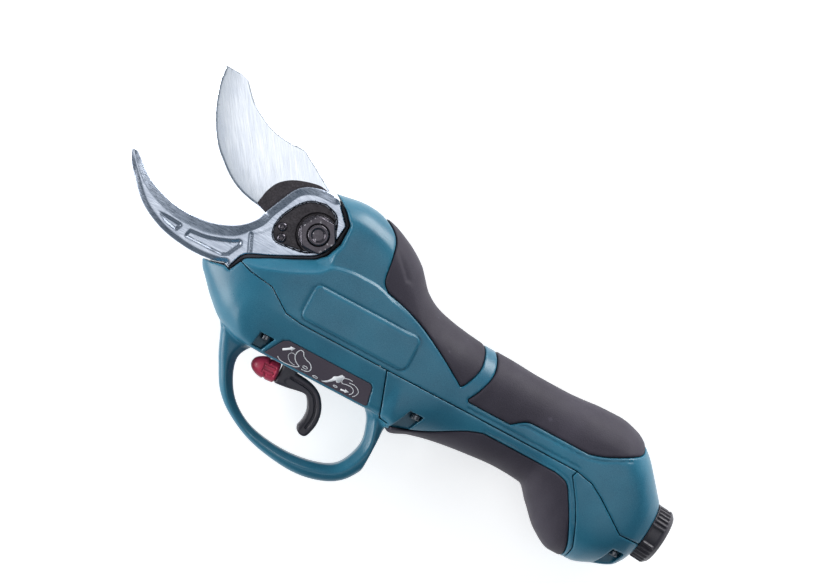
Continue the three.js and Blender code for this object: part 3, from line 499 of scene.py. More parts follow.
# Sections of the body along x: top and bottom heights, height of the widest place, half width, and how
# square the section is above and below that place (2 is an ellipse).
SECTIONS = [
    (-42, -31, -37, -34, 3.5, 2.2, 2.2), (-38, -20, -41, -33, 8, 2.2, 2.3),
    (-30, -5, -49.5, -32, 14, 2.2, 2.6), (-20, 8, -57.5, -31, 19, 2.4, 3.2),
    (-9, 18.6, -61, -30, 22.5, 2.8, 5), (3, 21.6, -61, -30, 25, 3.1, 9),
    (15, 23.3, -61, -30, 25, 3.2, 9), (28, 21.4, -61, -30, 25, 3.1, 9),
    (40, 16.8, -61, -30, 25, 2.8, 9), (50, 10.5, -61, -31, 25, 2.5, 9),
    (60, 0, -61, -32, 25, 2.3, 7), (67, -4, -62.5, -32, 24.6, 2.2, 5),
    (73, -5.8, -66, -32.5, 24, 2.2, 4), (82, -7.5, -63, -33, 22.7, 2.2, 3),
    (95, -8.9, -60.2, -33, 20.8, 2.3, 2.5), (110, -9.3, -58.3, -33, 20, 2.3, 2.4),
    (126, -10.2, -57.1, -33, 20, 2.3, 2.4), (140, -10.3, -58, -34, 20.5, 2.3, 2.4),
    (148, -9.9, -65.5, -36, 21.6, 2.3, 2.4), (158, -9, -75, -39, 23.4, 2.3, 2.4),
    (168, -8.8, -79.7, -42, 24.6, 2.4, 2.5), (178, -10.8, -79.5, -44, 25, 2.5, 2.6),
    (188, -17.5, -76, -46, 23.6, 2.5, 2.8), (197, -27.5, -72.4, -48, 20.5, 2.4, 2.6),
    (203, -34.5, -65, -50, 16.5, 2.3, 2.3), (206, -38, -62, -50.3, 14.5, 2.2, 2.2),
]

# Lines of the side view: (x, y) points in order.
POCKET_EDGE = [(-1.8, 21.2), (1.4, 19.9), (6.4, 16.3), (11.4, 10.9), (11.4, 1), (8.4, -6.6), (4.6, -10.6),
               (-4.5, -15.4), (-14.5, -20.2), (-24.5, -25.6)]
NOSE_EDGE = [(-26, -28), (-28.9, -34), (-31.6, -33), (-38, -34.6), (-44, -35.3)]
PARTING_FRONT = [(-26, -27.6), (-20, -29.5), (-8, -31), (3.5, -38.8), (12, PARTING)]
GUARD_SEAM = [(57.5, PARTING), (65, -60.5), (66.5, -61.8), (71.2, -62.3)]
TAIL_FRONT_SEAM = [(159, PARTING), (158, -43), (165, -53), (169, -60), (175, -73), (175.3, -84)]
TAIL_UPPER_SEAM = [(159, PARTING), (168, -42), (175, -46), (191, -57), (208, -57)]
HEAD_STEP = [(-26, -27), (-10, -20), (4, -14), (15, -9.5), (25, -8), (33, -8), (45, -11), (55, -13.5),
             (66, -17)]
CROWN_STEP = [(-10, 12), (12, 15.5), (25, 15), (31, 14), (37, 9), (46, 0)]


def tail_end_x(y):
    return TAIL[0] - (y - TAIL[1]) * TAIL_TILT


def lean(x, y):
    """How far the flank leans in below the parting line, ahead of the rear cover."""
    return np.maximum(0, PARTING - y) * FLANK_LEAN * (1 - step_up(x, 63, 70))


def flank_height(grid):
    """Distance of the flank from the middle plane: it steps in around the ring and again at the crown."""
    x, y = grid.x, grid.y
    height = FLANK + (LAND - FLANK) * step_up(x, 96, 110) - lean(x, y)
    fade = 1 - step_up(x, 40, 66)
    height = height - 1.5 * fade * step_up(y - through(HEAD_STEP, x), -0.5, 1.5)
    return height - 1.9 * fade * step_up(y - through(CROWN_STEP, x), -0.8, 2.0)


def body_field(grid):
    """The smooth outer body, without its seams."""
    columns = list(zip(*SECTIONS))
    top, bottom, waist, half, above, below = (through(list(zip(columns[0], c)), grid.x) for c in columns[1:])
    up = grid.y - waist
    reach = np.where(up > 0, up / (top - waist), -up / (waist - bottom))
    power = np.where(up > 0, above, below)
    form = (reach ** power + (np.abs(grid.z) / half) ** power) ** (1 / power) - 1
    made = true_distance(grid, form)
    made = both(made, np.abs(grid.z) - flank_height(grid), 2.5)
    made = both(made, SECTIONS[0][0] - grid.x, 3.0)
    return both(made, (grid.x - tail_end_x(grid.y)) * math.cos(TAIL_TILT), 1.6)


def tail_axis(grid):
    """Distance from the connector's axis, height along it from the tail's end face, and height across it."""
    across, along = grid.x - TAIL[0], grid.y - TAIL[1]
    height = across * math.cos(TAIL_TILT) + along * math.sin(TAIL_TILT)
    side = -across * math.sin(TAIL_TILT) + along * math.cos(TAIL_TILT)
    return np.sqrt(side ** 2 + grid.z ** 2), height, side


# ---- outlines -------------------------------------------------------------------------------------------

def polyline(*parts):
    return np.array([p for part in parts for p in part], float)


REGIONS = {
    "upper": polyline([(-1.8, 40)], POCKET_EDGE, PARTING_FRONT, TAIL_UPPER_SEAM[:-1],
                      [(215, -57), (215, 40)]),
    "guard": polyline(NOSE_EDGE, [(-44, -75), (71.2, -75)], GUARD_SEAM[::-1], PARTING_FRONT[::-1]),
    "rear": polyline(GUARD_SEAM, [(71.2, -90)], [(175.3, -90)], TAIL_FRONT_SEAM[::-1]),
    "tail": polyline(TAIL_FRONT_SEAM, [(175.3, -90), (215, -90), (215, -57)], TAIL_UPPER_SEAM[1:-1][::-1]),
}
PADS = {
    "front": curve(
        (21, 23), [(25, 21.5), (30, 18.5), (33.5, 14), (35.3, 6), (37, -4), (41, -8.3)],
        [(52, -11), (65, -16), (80, -24), (90, -30)],
        [(92, -30.8), (94, -28), (96.8, -20), (96, -12), (93.5, -7)],
        [(93.5, 30)], [(21, 30)]),
    "rear": curve(
        (99.5, -7), [(102.5, -13), (103.3, -20), (100.5, -29), (97.5, -34.5)], [(98.5, -35.7)],
        [(121, -35.7)], [(127, -31.3), (131, -30.5)], [(160, -30.5)],
        [(168, -28), (180, -22), (184.5, -18.5), (184.5, -13)], [(184.5, 10)], [(99.5, 10)]),
    "lower": curve(
        (71.6, -62.6), [(80, -60.3), (90, -56), (104, -48), (112, -45)], [(150, -45)],
        [(157, -47), (162, -54), (168, -64.5), (173, -75), (174, -84)], [(174, -90)], [(71.6, -90)]),
}
LOOP = curve(
    (-19.4, -58.4),
    [(-18, -62), (-15, -69), (-12, -75), (-5, -86.5), (5, -94.5), (20, -101), (40, -104), (55, -102),
     (66, -95.8), (73, -84), (73.6, -76), (71.5, -68.5), (70.8, -62.7)], [(64, -58.4)])
LOOP_OPENING = curve(
    (-2, -61.3),
    [(-5.2, -68), (-3.5, -76), (2, -85), (10, -91.5), (20, -95.3), (35, -96.9), (50, -95), (60, -90),
     (65, -78), (62.5, -67), (58.5, -61.3)])
LABEL = polyline([(3.4, -59.6), (8.5, -50.8), (11, -49.3), (54, -49.3), (55.4, -50.6), (57.3, -59),
                  (56.4, -59.8), (4, -59.8)])
PANEL_MIDDLE, PANEL_HALF, PANEL_CORNER = (37.4, -28.4), (27.4, 8.6), 3.0

# Wells with a screw at the top: outline, place and head height of the screw, and the seam it crosses.
WELLS = {
    "nose": dict(mouth=[(-2.6, -52), (4.8, -52), (1.5, -59.4), (-3.6, -59.4)],
                 x=1.0, z=17.3, head=-52, seam=-34.6),
    "rear": dict(mouth=[(76.4, -51.8), (83.6, -51.8), (79, -63), (71.6, -63)],
                 x=80.0, z=17.8, head=-52, seam=PARTING),
    "tail": dict(mouth=[(191.9, -64.4), (198, -64.4), (193, -80), (186.2, -80)],
                 x=194.0, z=13.0, head=-65, seam=-57),
}
WELL_DEPTH = 3.4  # from the screw's axis to the back of its well
WELL_WALL, WELL_ROOF = 1.6, 5  # how far a well's post reaches around its mouth and above the screw's head
POST_RADIUS, PILOT_RADIUS, POST_REACH = 3.4, 1.7, 9  # a post and its hole; it goes up this far past the seam
HEAD_ROOM = ((-31, -35, -1), (17, 17.5, 10.6))  # the corners of the room for the blades' ring


# ---- housing --------------------------------------------------------------------------------------------

def hollow(body):
    """The room inside the housing."""
    return body + SHELL


def shell(grid, body, region):
    """The wall of the housing in one region of the side view."""
    side = outline(grid, region) + GAP / 2
    return cut(both(body, side, 0.55), hollow(body))


def well(grid, made, body, place):
    """A shell with a well and the post behind it."""
    mouth = outline(grid, place["mouth"])
    depth = np.abs(grid.z) - (place["z"] - WELL_DEPTH)
    post = both(both(mouth - WELL_WALL, -depth - WELL_WALL), body)
    post = both(post, grid.y - place["head"] - WELL_ROOF)
    return cut(joined(made, post), both(mouth, -depth, 0.3), 0.45)


def screw_post(grid, made, body, place):
    """A post of the upper housing that a screw runs into."""
    top = place["seam"] + POST_REACH
    off = np.sqrt((grid.x - place["x"]) ** 2 + (np.abs(grid.z) - place["z"]) ** 2)
    level = np.abs(grid.y - (place["seam"] + top) / 2) - (top - place["seam"]) / 2
    post = both(both(off - POST_RADIUS, body), level)
    return cut(joined(made, post), both(off - PILOT_RADIUS, grid.y - top + 1.5))


def pad_pocket(grid, made, body, points):
    return cut(made, both(outline(grid, points), -body - PAD - GAP), 0.4)


def groove(grid, made, body, points, width, depth):
    """A fine line pressed into the surface."""
    return cut(made, both(near_line(grid, points) - width / 2, -body - depth), 0.25)


def edge_chamfer(grid):
    """The flank falls away towards the ring of the counter blade, and less beside the crown."""
    away = near_line(grid, POCKET_EDGE)
    below = step_up(-grid.y, 2, 12)  # 0 beside the crown and 1 below the pivot
    edge_height = 19.5 - 5.5 * below
    rise = 2.2 - 0.6 * below
    return (np.abs(grid.z) - edge_height - rise * away) / 2.2


def head_wall(grid, made, form, edge):
    """A shell with a wall along its edge beside the ring, outside the room for the ring."""
    wall = both(form, near_line(grid, edge) - 2.6)
    return joined(made, cut(wall, block(grid, *HEAD_ROOM)))


def connector_bore(grid, made):
    """The round opening for the connector in the tail's end face."""
    radius, height, _ = tail_axis(grid)
    return cut(made, both(radius - BORE_RADIUS, np.abs(height + 3) - 9))


def raised_panel(grid, body):
    """The body with a raised panel on each flank and a fine moat around it."""
    flat = [np.abs(v - m) - h + PANEL_CORNER for v, m, h in zip((grid.x, grid.y), PANEL_MIDDLE, PANEL_HALF)]
    panel = np.sqrt(np.maximum(flat[0], 0) ** 2 + np.maximum(flat[1], 0) ** 2) - PANEL_CORNER
    moat = both(np.abs(panel - 0.35) - 0.3, -body - PANEL_MOAT)
    panel = both(panel, np.abs(grid.z) - LAND, 0.5)
    return joined(cut(body, moat, 0.2), panel)


def upper_housing():
    grid = Grid((-30, -59, 0), (209, 26, 25), 0.54, mirrored=True)
    body = body_field(grid)
    outer = both(raised_panel(grid, body), edge_chamfer(grid), 0.8)
    made = shell(grid, outer, REGIONS["upper"])
    made = head_wall(grid, made, both(outer, outline(grid, REGIONS["upper"]) + GAP / 2), POCKET_EDGE)
    for points in (PADS["front"], PADS["rear"]):
        made = pad_pocket(grid, made, body, points)
    for place in WELLS.values():
        made = screw_post(grid, made, body, place)
    made = groove(grid, made, body, [(100, -38), (159, -38)], 0.9, 0.5)
    beside_grip = [(124, -34.4), (128, -32.6), (160, -32.6), (168, -30), (180, -24)]
    made = groove(grid, made, body, beside_grip, 0.8, 0.4)
    made = connector_bore(grid, made)
    from_field("upper_housing_shell", grid, made, finish("shell_plastic"), nodes=["upper_housing"],
               flatness=0.003)


def guard_loop(grid):
    """The closed loop around the trigger, with a ridge and a slope down to its opening."""
    around, opening = outline(grid, LOOP) + 0.03, outline(grid, LOOP_OPENING)
    z = np.abs(grid.z)
    outer_slope = (z - LOOP_HALF - (-around - 2.4) * 0.9) / 1.35
    inner_slope = (z - 3.8 - opening * 1.15) / 1.5
    made = both(around, z - LOOP_HALF, 1.0)
    made = both(both(made, outer_slope, 1.2), inner_slope, 0.8)
    return cut(made, opening, 0.8)


def guard_housing():
    grid = Grid((-46, -106, 0), (76, -25, 25), 0.5, mirrored=True)
    body = body_field(grid)
    whole = joined(body, guard_loop(grid), 2.5)
    whole = cut(whole, both(outline(grid, LOOP_OPENING), grid.y + 61.4), 0.5)
    whole = cut(whole, outline(grid, REGIONS["rear"]) - GAP / 2, 0.5)
    region = np.minimum(outline(grid, REGIONS["guard"]) + GAP / 2, grid.y + 62)
    made = cut(both(whole, region, 0.55), hollow(body))
    made = head_wall(grid, made, both(body, region), NOSE_EDGE)
    made = well(grid, made, body, WELLS["nose"])
    boss = both(bar(grid, "z", 5, 8.6, 20, TRIGGER_PIVOT), body)
    made = cut(joined(made, boss), bar(grid, "z", 2.3, -12.4, 12.4, TRIGGER_PIVOT))
    made = cut(made, block(grid, (9, -66, -5.4), (47, -50, 5.4)), 0.4)
    film = np.abs(grid.z) - FLANK + lean(grid.x, grid.y) + 0.9
    made = cut(made, both(outline(grid, LABEL) - 0.3, -film), 0.35)
    from_field("guard_housing_shell", grid, made, finish("shell_plastic"), nodes=["guard_housing"])


def rear_cover():
    grid = Grid((56, -83, 0), (178, -38, 25), 0.5, mirrored=True)
    body = body_field(grid)
    made = well(grid, shell(grid, body, REGIONS["rear"]), body, WELLS["rear"])
    made = pad_pocket(grid, made, body, PADS["lower"])
    line = [(112, -43.6), (150, -43.6), (157, -45.2), (162.6, -51.6), (169, -62)]
    made = groove(grid, made, body, line, 0.8, 0.35)
    from_field("rear_cover_shell", grid, made, finish("shell_plastic"), nodes=["rear_cover"])


def tail_cover():
    grid = Grid((156, -83, 0), (209, -38, 25), 0.5, mirrored=True)
    body = body_field(grid)
    made = well(grid, shell(grid, body, REGIONS["tail"]), body, WELLS["tail"])
    made = connector_bore(grid, made)
    from_field("tail_cover_shell", grid, made, finish("shell_plastic"), nodes=["tail_cover"])


def grip_pad(name, low, high, proud=0.25):
    """A soft pad that stands a little proud of the housing, with a rolled edge."""
    grid = Grid(low, high, 0.5, mirrored=True)
    body = body_field(grid)
    skin = both(body - proud, outline(grid, PADS[name]) + GAP, 1.1)
    made = cut(skin, body + PAD)
    from_field(f"{name}_grip_skin", grid, made, finish("grip_rubber"), nodes=[f"{name}_grip_pad"])


def housing():
    upper_housing()
    guard_housing()
    rear_cover()
    tail_cover()
    grip_pad("front", (18, -33, 0), (99, 26, 25.5))
    grip_pad("rear", (95, -38, 0), (187, -6, 25.5))
    grip_pad("lower", (69, -82, 0), (176, -43, 25.5))


housing()


# ---- cutting head ---------------------------------------------------------------------------------------

CONCAVE = [(-24.5, 1), (-26.5, -3), (-28, -7), (-33, -12.5), (-40, -16.5), (-50, -19.2), (-65, -19),
           (-80, -14), (-91.8, -5.4)]
CONVEX = [(-94.8, -7), (-90, -14), (-80, -24.5), (-70, -30.3), (-60, -33.3), (-48, -34.6), (-38, -33.8),
          (-32, -32)]
RING_BACK = [(-0.5, 19.6), (-10, 19), (-18, 14.5), (-23, 5), (-26.5, -3)]
HOOK = curve(
    (-93.6, -4.9), CONVEX, [(-29.5, -33)], [(-27, -26)],
    [(-24, -23), (-15, -19), (-5, -14), (4, -9), (8, -3.5), (9.4, 4)], [(10, 9.5)], [(5, 15)] + RING_BACK,
    CONCAVE[2:], steps=6)
RECESS = curve((-3, 14.5), [(4, 12), (7.5, 4), (6.3, -4), (0, -10), (-9, -12), (-16.5, -12.4), (-20, -7),
                            (-18.3, 2), (-11.5, 11.6), (-3, 14.5)])
HOOK_POCKETS = [
    curve((-71, -25.2), [(-65, -24.8), (-58.2, -25.2)], [(-57.4, -26.4)], [(-59, -30)],
          [(-66, -28.4), (-71, -25.2)]),
    curve((-54, -25.6), [(-45, -24.5), (-35, -21), (-31.5, -19)], [(-29.6, -19)], [(-28.5, -21.2)],
          [(-32, -28.5)], [(-35, -30.2)], [(-54.5, -30.5)], [(-54.9, -29)]),
]
TANG = polyline([(-27.5, -25), (-28, -31.5), (-24.5, -34), (-20.6, -31.5), (-19, -20)])
TANG_PLACE = (-24.5, -30.5)
LOCK_SCREWS = [(-16, -4.5), (-14, -9.3)]
HOOK_FACE = 8.1  # height of the hook's lands, where its bevels and pockets start


def slope(grid, away, width, low, high):
    """Room under a face at height high that falls to low over a width, at an edge this far away."""
    rise = (high - low) / width
    return (grid.z - low - rise * away) / np.sqrt(1 + rise * rise)


def bevelled(grid, made, line, width, low, high):
    """A piece with a bevel along a line: at height low on the line, and at high a width away from it."""
    return both(made, slope(grid, near_line(grid, line), width, low, high), 0.2)


def counter_blade():
    """The hook: a forged body with a ground ring, a bevel along the concave edge and two pockets."""
    grid = Grid((-97, -37, 1.2), (12.4, 22, 9.4), 0.3)
    side = outline(grid, HOOK)
    to_ring = ((grid.x + 27.5) * 8 + (grid.y + 15) * 3.5) / math.hypot(8, 3.5)
    top = RING_FACE - 0.35 * (1 - step_up(to_ring, -0.6, 0.6))
    made = both(side, grid.z - top, 0.7)
    made = both(made, 2.1 - grid.z, 0.3)
    width = through([(-95, 1.6), (-88, 3.2), (-75, 4.7), (-50, 5.4), (-35, 5.2), (-28, 3.6)], grid.x)
    tip = 1 - step_up(grid.x, -95, -88)
    made = bevelled(grid, made, smooth(CONCAVE[1:]), width, 6.2 + 0.9 * tip, HOOK_FACE)
    made = bevelled(grid, made, smooth(CONVEX), 2.4, 7.0 + 0.8 * tip, HOOK_FACE)
    made = bevelled(grid, made, smooth(RING_BACK), 4.2, 6.7, RING_FACE)
    made = cut(made, both(outline(grid, RECESS) + 0.2, RECESS_FACE - grid.z), 0.5)
    for points in HOOK_POCKETS:
        inside = outline(grid, points)
        floor = np.maximum(HOOK_FACE + 0.55 * inside, 7.2)
        made = cut(made, both(inside, floor - grid.z), 0.2)
    step_line = near_line(grid, [(-27.7, -14.6), (-24.2, -22.6)])
    seam_line = near_line(grid, curve((-20.4, -7.4), [(-22.4, -10.2), (-24.8, -12.8), (-27.7, -14.6)]))
    made = both(made, (grid.z - 8.15 + 0.4 * np.maximum(0, 1.4 - step_line)) / 1.08, 0.15)
    made = both(made, (grid.z - 8.4 + 0.5 * np.maximum(0, 0.8 - seam_line)) / 1.12, 0.1)
    made = cut(made, bar(grid, "z", 5.25, 0, 20, (0, 0)))
    for place in LOCK_SCREWS:
        made = cut(made, bar(grid, "z", 1.4, 2.6, 20, place))
    from_field("counter_blade_forged", grid, made, finish("forged_steel"), nodes=["counter_blade"])


def counter_blade_tang():
    """The hook's tang, which the tang screw holds inside the nose, in dark oxide as painted shade for the gap
    beside the hook.
    """
    grid = Grid((-29.5, -35.5, 1.6), (-17.5, -18.5, 5.6), 0.2)
    made = both(outline(grid, TANG), np.abs(grid.z - 3.6) - 1.35, 0.25)
    made = cut(made, bar(grid, "z", 1.8, 0, 20, TANG_PLACE), 0.2)
    # Painted shade: the tang is dark where it shows in the shadowed gap.
    from_field("counter_blade_tang", grid, made, finish("black_steel"))


CUTTING_EDGE = [(-27, -2.2), (-31, -1.3), (-35, -0.7), (-40, 0.5), (-45, 2.5), (-50, 5.5), (-55, 9.5),
                (-60, 14), (-65, 20.5), (-70, 30), (-72.2, 36.5), (-73.7, 42), (-74.5, 49.5)]
LEAF_BACK = curve(
    (-74.5, 49.5), [(-65.4, 49.4)],
    [(-64, 49.1), (-62, 48), (-57, 42.7), (-53, 39.3), (-45, 35), (-40, 33.2), (-35, 32.3), (-30, 31.9),
     (-24.5, 32.2)],
    [(-22.6, 31.8)], [(-1.5, 19.2)], steps=6)
LEAF = np.concatenate([LEAF_BACK, curve(
    (4, 10), [(-6, -12)], [(-17, -6.5)], [(-27, -2.2)], CUTTING_EDGE[1:], steps=6)])
SWING = math.radians(40)
HUB_RADIUS = 15
GRIND_DEPTH, GRIND_WIDTH = 0.9, 17  # the hollow grind along the edge
RIM = 0.8  # width of the honed rims along the edge and the back
# The blade's rear arm: half width, how far it and its slot's root are from the pivot, half width of the slot.
ARM_HALF, FORK_REACH, FORK_ROOT, SLOT_HALF = 8.4, 37.5, 27.5, 3.4


def arm_axes(grid):
    """Distance from the pivot along the blade's rear arm, and across it."""
    half = SWING / 2
    along = -grid.x * math.sin(half) - grid.y * math.cos(half)
    return along, grid.x * math.cos(half) - grid.y * math.sin(half)


def cutting_blade():
    """The leaf with a long hollow grind along its edge, the hub and the fork arm inside the head."""
    grid = Grid((-76.5, -41, -2.4), (27, 51, 2.4), 0.3)
    leaf = outline(grid, LEAF)
    hub = off_axis(grid) - HUB_RADIUS
    along, across = arm_axes(grid)
    arm = both(both(np.abs(across) - ARM_HALF, along - FORK_REACH), -along)
    arm = cut(arm, both(np.abs(across) - SLOT_HALF, FORK_ROOT - along))
    side = joined(joined(leaf, hub, 1.0), arm, 1.5)
    made = both(side, np.abs(grid.z) - BLADE_HALF, 0.3)
    away = near_line(grid, smooth(CUTTING_EDGE))
    grind = GRIND_DEPTH * np.maximum(0, 1 - away / GRIND_WIDTH) ** 2
    made = both(made, (grid.z - BLADE_HALF + grind) / 1.01, 0.15)
    made = both(made, slope(grid, away, RIM, 0.64, 0.98))
    back = near_line(grid, LEAF_BACK)
    made = both(made, slope(grid, back, RIM, BLADE_HALF - 0.34, BLADE_HALF))
    far_bevel = (-grid.z - 0.1 - away) / 1.4
    made = both(made, far_bevel, 0.1)
    made = cut(made, off_axis(grid) - 7.4)
    from_field("cutting_blade_ground", grid, made, finish("blade_steel"), "cutting_blade", ["cutting_blade"])


def blade_boss():
    """A dark plate on the blade's hub, a painted shadow of the ring: it shows as a crescent beside the ring
    and as a rim below it.
    """
    grid = Grid((-34, -30, 1.4), (19, 22.5, 2.4), 0.2)
    edge = curve((-31.6, -0.6), [(-31, 3), (-30, 7.5), (-27, 13), (-20.5, 17.6), (-10, 20.6), (-3, 19.6)],
                 [(0, 12)], [(-8, -6)], [(-24, -3.2)], [(-28, -1.9)])
    side = joined(outline(grid, edge), off_axis(grid) - (HUB_RADIUS + 0.2))
    along, across = arm_axes(grid)
    side = joined(side, both(both(np.abs(across) - ARM_HALF - 0.2, along - 27), -along))
    # Painted shadow: this thin dark plate stands for the ring's shadow on the blade.
    made = both(both(side, grid.z - 2.02, 0.2), 1.7 - grid.z)
    made = cut(made, off_axis(grid) - 7.6)
    from_field("blade_boss", grid, made, finish("black_steel"), "cutting_blade")


NUT_HALF, NUT_TOP, NUT_CHAMFER = 8.0, 14.0, 2.4  # half width across flats, top and steepness of the rim


def pivot_nut():
    """A 16 mm hexagon nut with a chamfered rim on a round flange."""
    grid = Grid((-11, -11, 6.6), (11, 11, 14.6), 0.2)
    radius = off_axis(grid)
    nut = both(hexagon(grid, NUT_HALF, 30), np.abs(grid.z - 11.6) - 2.4, 0.45)
    nut = both(nut, (radius + grid.z * NUT_CHAMFER - 8.6 - NUT_TOP * NUT_CHAMFER) / 2.6, 0.2)
    flange = both(both(radius - 9.0, 8.8 - grid.z, 0.15), grid.z - 9.75, 0.3)
    collar = both(radius - 6.8, np.abs(grid.z - 8.05) - 0.95)
    made = cut(joined(joined(nut, flange, 0.4), collar), radius - 5.25, 0.35)
    from_field("pivot_nut_turned", grid, made, (PIVOT_STEEL, "black_steel"), nodes=["pivot_nut"])


def pivot_bolt():
    """The bolt through the blades, with its hexagon head on the right and a thread in the nut."""
    grid = Grid((-11, -11, -14.6), (11, 11, 16.2), 0.25)
    radius = off_axis(grid)
    head = both(hexagon(grid, 8.5, 30), np.abs(grid.z + 11.1) - 2.9, 0.2)
    head = both(head, (radius - grid.z * 1.6 - 9.2 - 14 * 1.6) / 1.9, 0.2)
    shank = both(radius - 5, np.abs(grid.z - 3.55) - 12.05, 0.6)
    thread = 0.16 * (1 - step_up(10.5 - grid.z, 0, 0.5)) * (1 + np.cos(grid.z * 2 * math.pi / 1.25))
    dimple = both(radius - 3.1, 14.9 - grid.z, 0.5)
    made = cut(joined(head, shank + thread), dimple, 0.4)
    from_field("pivot_bolt_turned", grid, made, (PIVOT_STEEL, "black_steel"), nodes=["pivot_bolt"])


def lock_plate():
    """The plate that keeps the nut from turning, in the ring's tear-drop recess."""
    grid = Grid((-21, -14, 4.8), (9, 16, 7.4), 0.2)
    radius = off_axis(grid)
    made = both(both(outline(grid, RECESS) + 0.8, np.abs(grid.z - 6.05) - 0.75, 0.3), 5.25 - radius)
    made = cut(made, both(radius - 10.1, 6.3 - grid.z, 0.2), 0.2)
    for place in LOCK_SCREWS:
        made = cut(made, bar(grid, "z", 1.5, 0, 20, place))
    from_field("lock_plate_stamped", grid, made, finish("black_steel"), nodes=["lock_plate"])


def socket_screw(name, place, axis, head_radius, head_height, shank_radius, shank, node, skin, dome=0.45):
    """A screw with a hexagon socket and a domed rim. axis points out of the head; place is under it."""
    direction = Vector(axis)
    turn = Vector((0, 0, 1)).rotation_difference(direction)
    reach = head_radius + 0.6
    grid = Grid((-reach, -reach, -shank - 0.6), (reach, reach, head_height + 0.6), 0.16)
    radius = off_axis(grid)
    socket = hexagon(grid, 0.42 * head_radius)
    head = both(both(radius - head_radius, -grid.z), grid.z - head_height, dome)
    made = joined(head, both(radius - shank_radius, np.abs(grid.z + (shank - 0.5) / 2) - (shank + 0.5) / 2))
    made = cut(made, both(socket, head_height * 0.35 - grid.z), 0.12)
    screw = from_field(name, grid, made, skin, nodes=[node])
    moved = turn.to_matrix().to_4x4()
    moved.translation = to_row(place)
    screw.data.transform(Matrix.Translation(-PIVOT))
    screw.data.transform(moved)
    return screw


def head_seal():
    """A dark strip that fills the gap between the counter blade and the housing, as painted shade in that
    gap.
    """
    grid = Grid((-39.5, -36.5, 4.9), (13.5, 20, 7.7), 0.2)
    edge = near_line(grid, polyline(POCKET_EDGE, NOSE_EDGE))
    room = both(0.2 - outline(grid, HOOK), edge - 1.9)
    room = both(both(room, grid.y - 18.8), -38.5 - grid.x)
    for name in ("upper", "guard"):
        room = both(room, 0.05 - outline(grid, REGIONS[name]))
    # Painted shade: the strip is dark where the gap lies in shadow.
    made = both(room, np.abs(grid.z - 6.3) - 1.0, 0.15)
    from_field("head_seal", grid, made, finish("black_plastic"))


def head():
    counter_blade()
    counter_blade_tang()
    head_seal()
    cutting_blade()
    blade_boss()
    pivot_nut()
    pivot_bolt()
    lock_plate()
    for i, (x, y) in enumerate(LOCK_SCREWS, 1):
        socket_screw(f"lock_screw_{i}", (x, y, 7.1), (0, 0, 1), 2.3, 1.9, 1.1, 4.1, f"lock_plate_screw_{i}",
                     (PIVOT_STEEL, "black_steel"), dome=1.5)
    for name, place in WELLS.items():
        for side_name, side in (("left", 1), ("right", -1)):
            shank = place["seam"] + 6.5 - place["head"] + GAP
            start = (place["x"], place["head"] - GAP, side * place["z"])
            socket_screw(f"case_screw_{name}_{side_name}", start, (0, -1, 0), 2.5, 2.3, 1.4, shank,
                         f"housing_screw_{name}_{side_name}", finish("zinc_screws"))


head()


# ---- trigger --------------------------------------------------------------------------------------------

TRIGGER_HALF, WEB_HALF, GROOVE_FLOOR = 4.2, 3.75, 3.3  # half widths of the lever, its web and in the groove
LEVER = curve(
    (15.3, -61), [(15.3, -71)], [(17.3, -70.9)],
    [(22, -70.3), (30, -69), (33, -71), (35.2, -75.5), (35.4, -80), (34.5, -83.5)],
    [(35.5, -85.8), (38, -87), (40.6, -86), (42.2, -80.5), (42.2, -76), (41, -71.6), (38.3, -67.3),
     (35, -64.6), (30, -62.9), (23, -62.2)], [(22.5, -58)])
LEVER_GROOVE = curve(
    (21.5, -65.3),
    [(26, -65.5), (30, -65.9), (34, -67.4), (37, -70.6), (38.9, -75), (39.1, -79), (38.5, -82.5)])


def trigger():
    """The finger lever: a rounded T section with a groove along each side of its web."""
    grid = Grid((8, -89, 0), (45, -46, 5.2), 0.3, mirrored=True)
    z = np.abs(grid.z)
    side = outline(grid, LEVER)
    made = both(side, z - TRIGGER_HALF, 1.5)
    groove_line = near_line(grid, LEVER_GROOVE)
    made = cut(made, both(groove_line - 0.55, GROOVE_FLOOR - z), 0.35)
    web = both(side + 1.0, near_line(grid, LEVER_GROOVE + np.array([-0.8, -2.2])) - 1.5)
    made = cut(made, both(web, WEB_HALF - z) + 0.2, 0.4)
    hub = bar(grid, "z", 5, -TRIGGER_HALF, TRIGGER_HALF, TRIGGER_PIVOT)
    px, py = TRIGGER_PIVOT
    neck = block(grid, (px - 2.6, py - 9, -3.8), (px + 4.5, py, 3.8))
    made = cut(joined(joined(made, hub, 0.5), neck, 0.5), bar(grid, "z", 2.3, -9, 9, TRIGGER_PIVOT))
    from_field("trigger_lever", grid, made, finish("black_plastic"), "trigger", ["trigger"])


KNOB_START = (14.9, -66.4)
KNOB_TURN = math.radians(3.5)
# Outline of the knob: (distance from its foot, radius).
KNOB_OUTLINE = [(0, 4.3), (1, 5.2), (3, 5.3), (6.6, 5.25), (8.5, 4.9), (10.4, 4.1), (11.8, 3.2), (12.9, 2.0),
                (13.5, 0.6)]


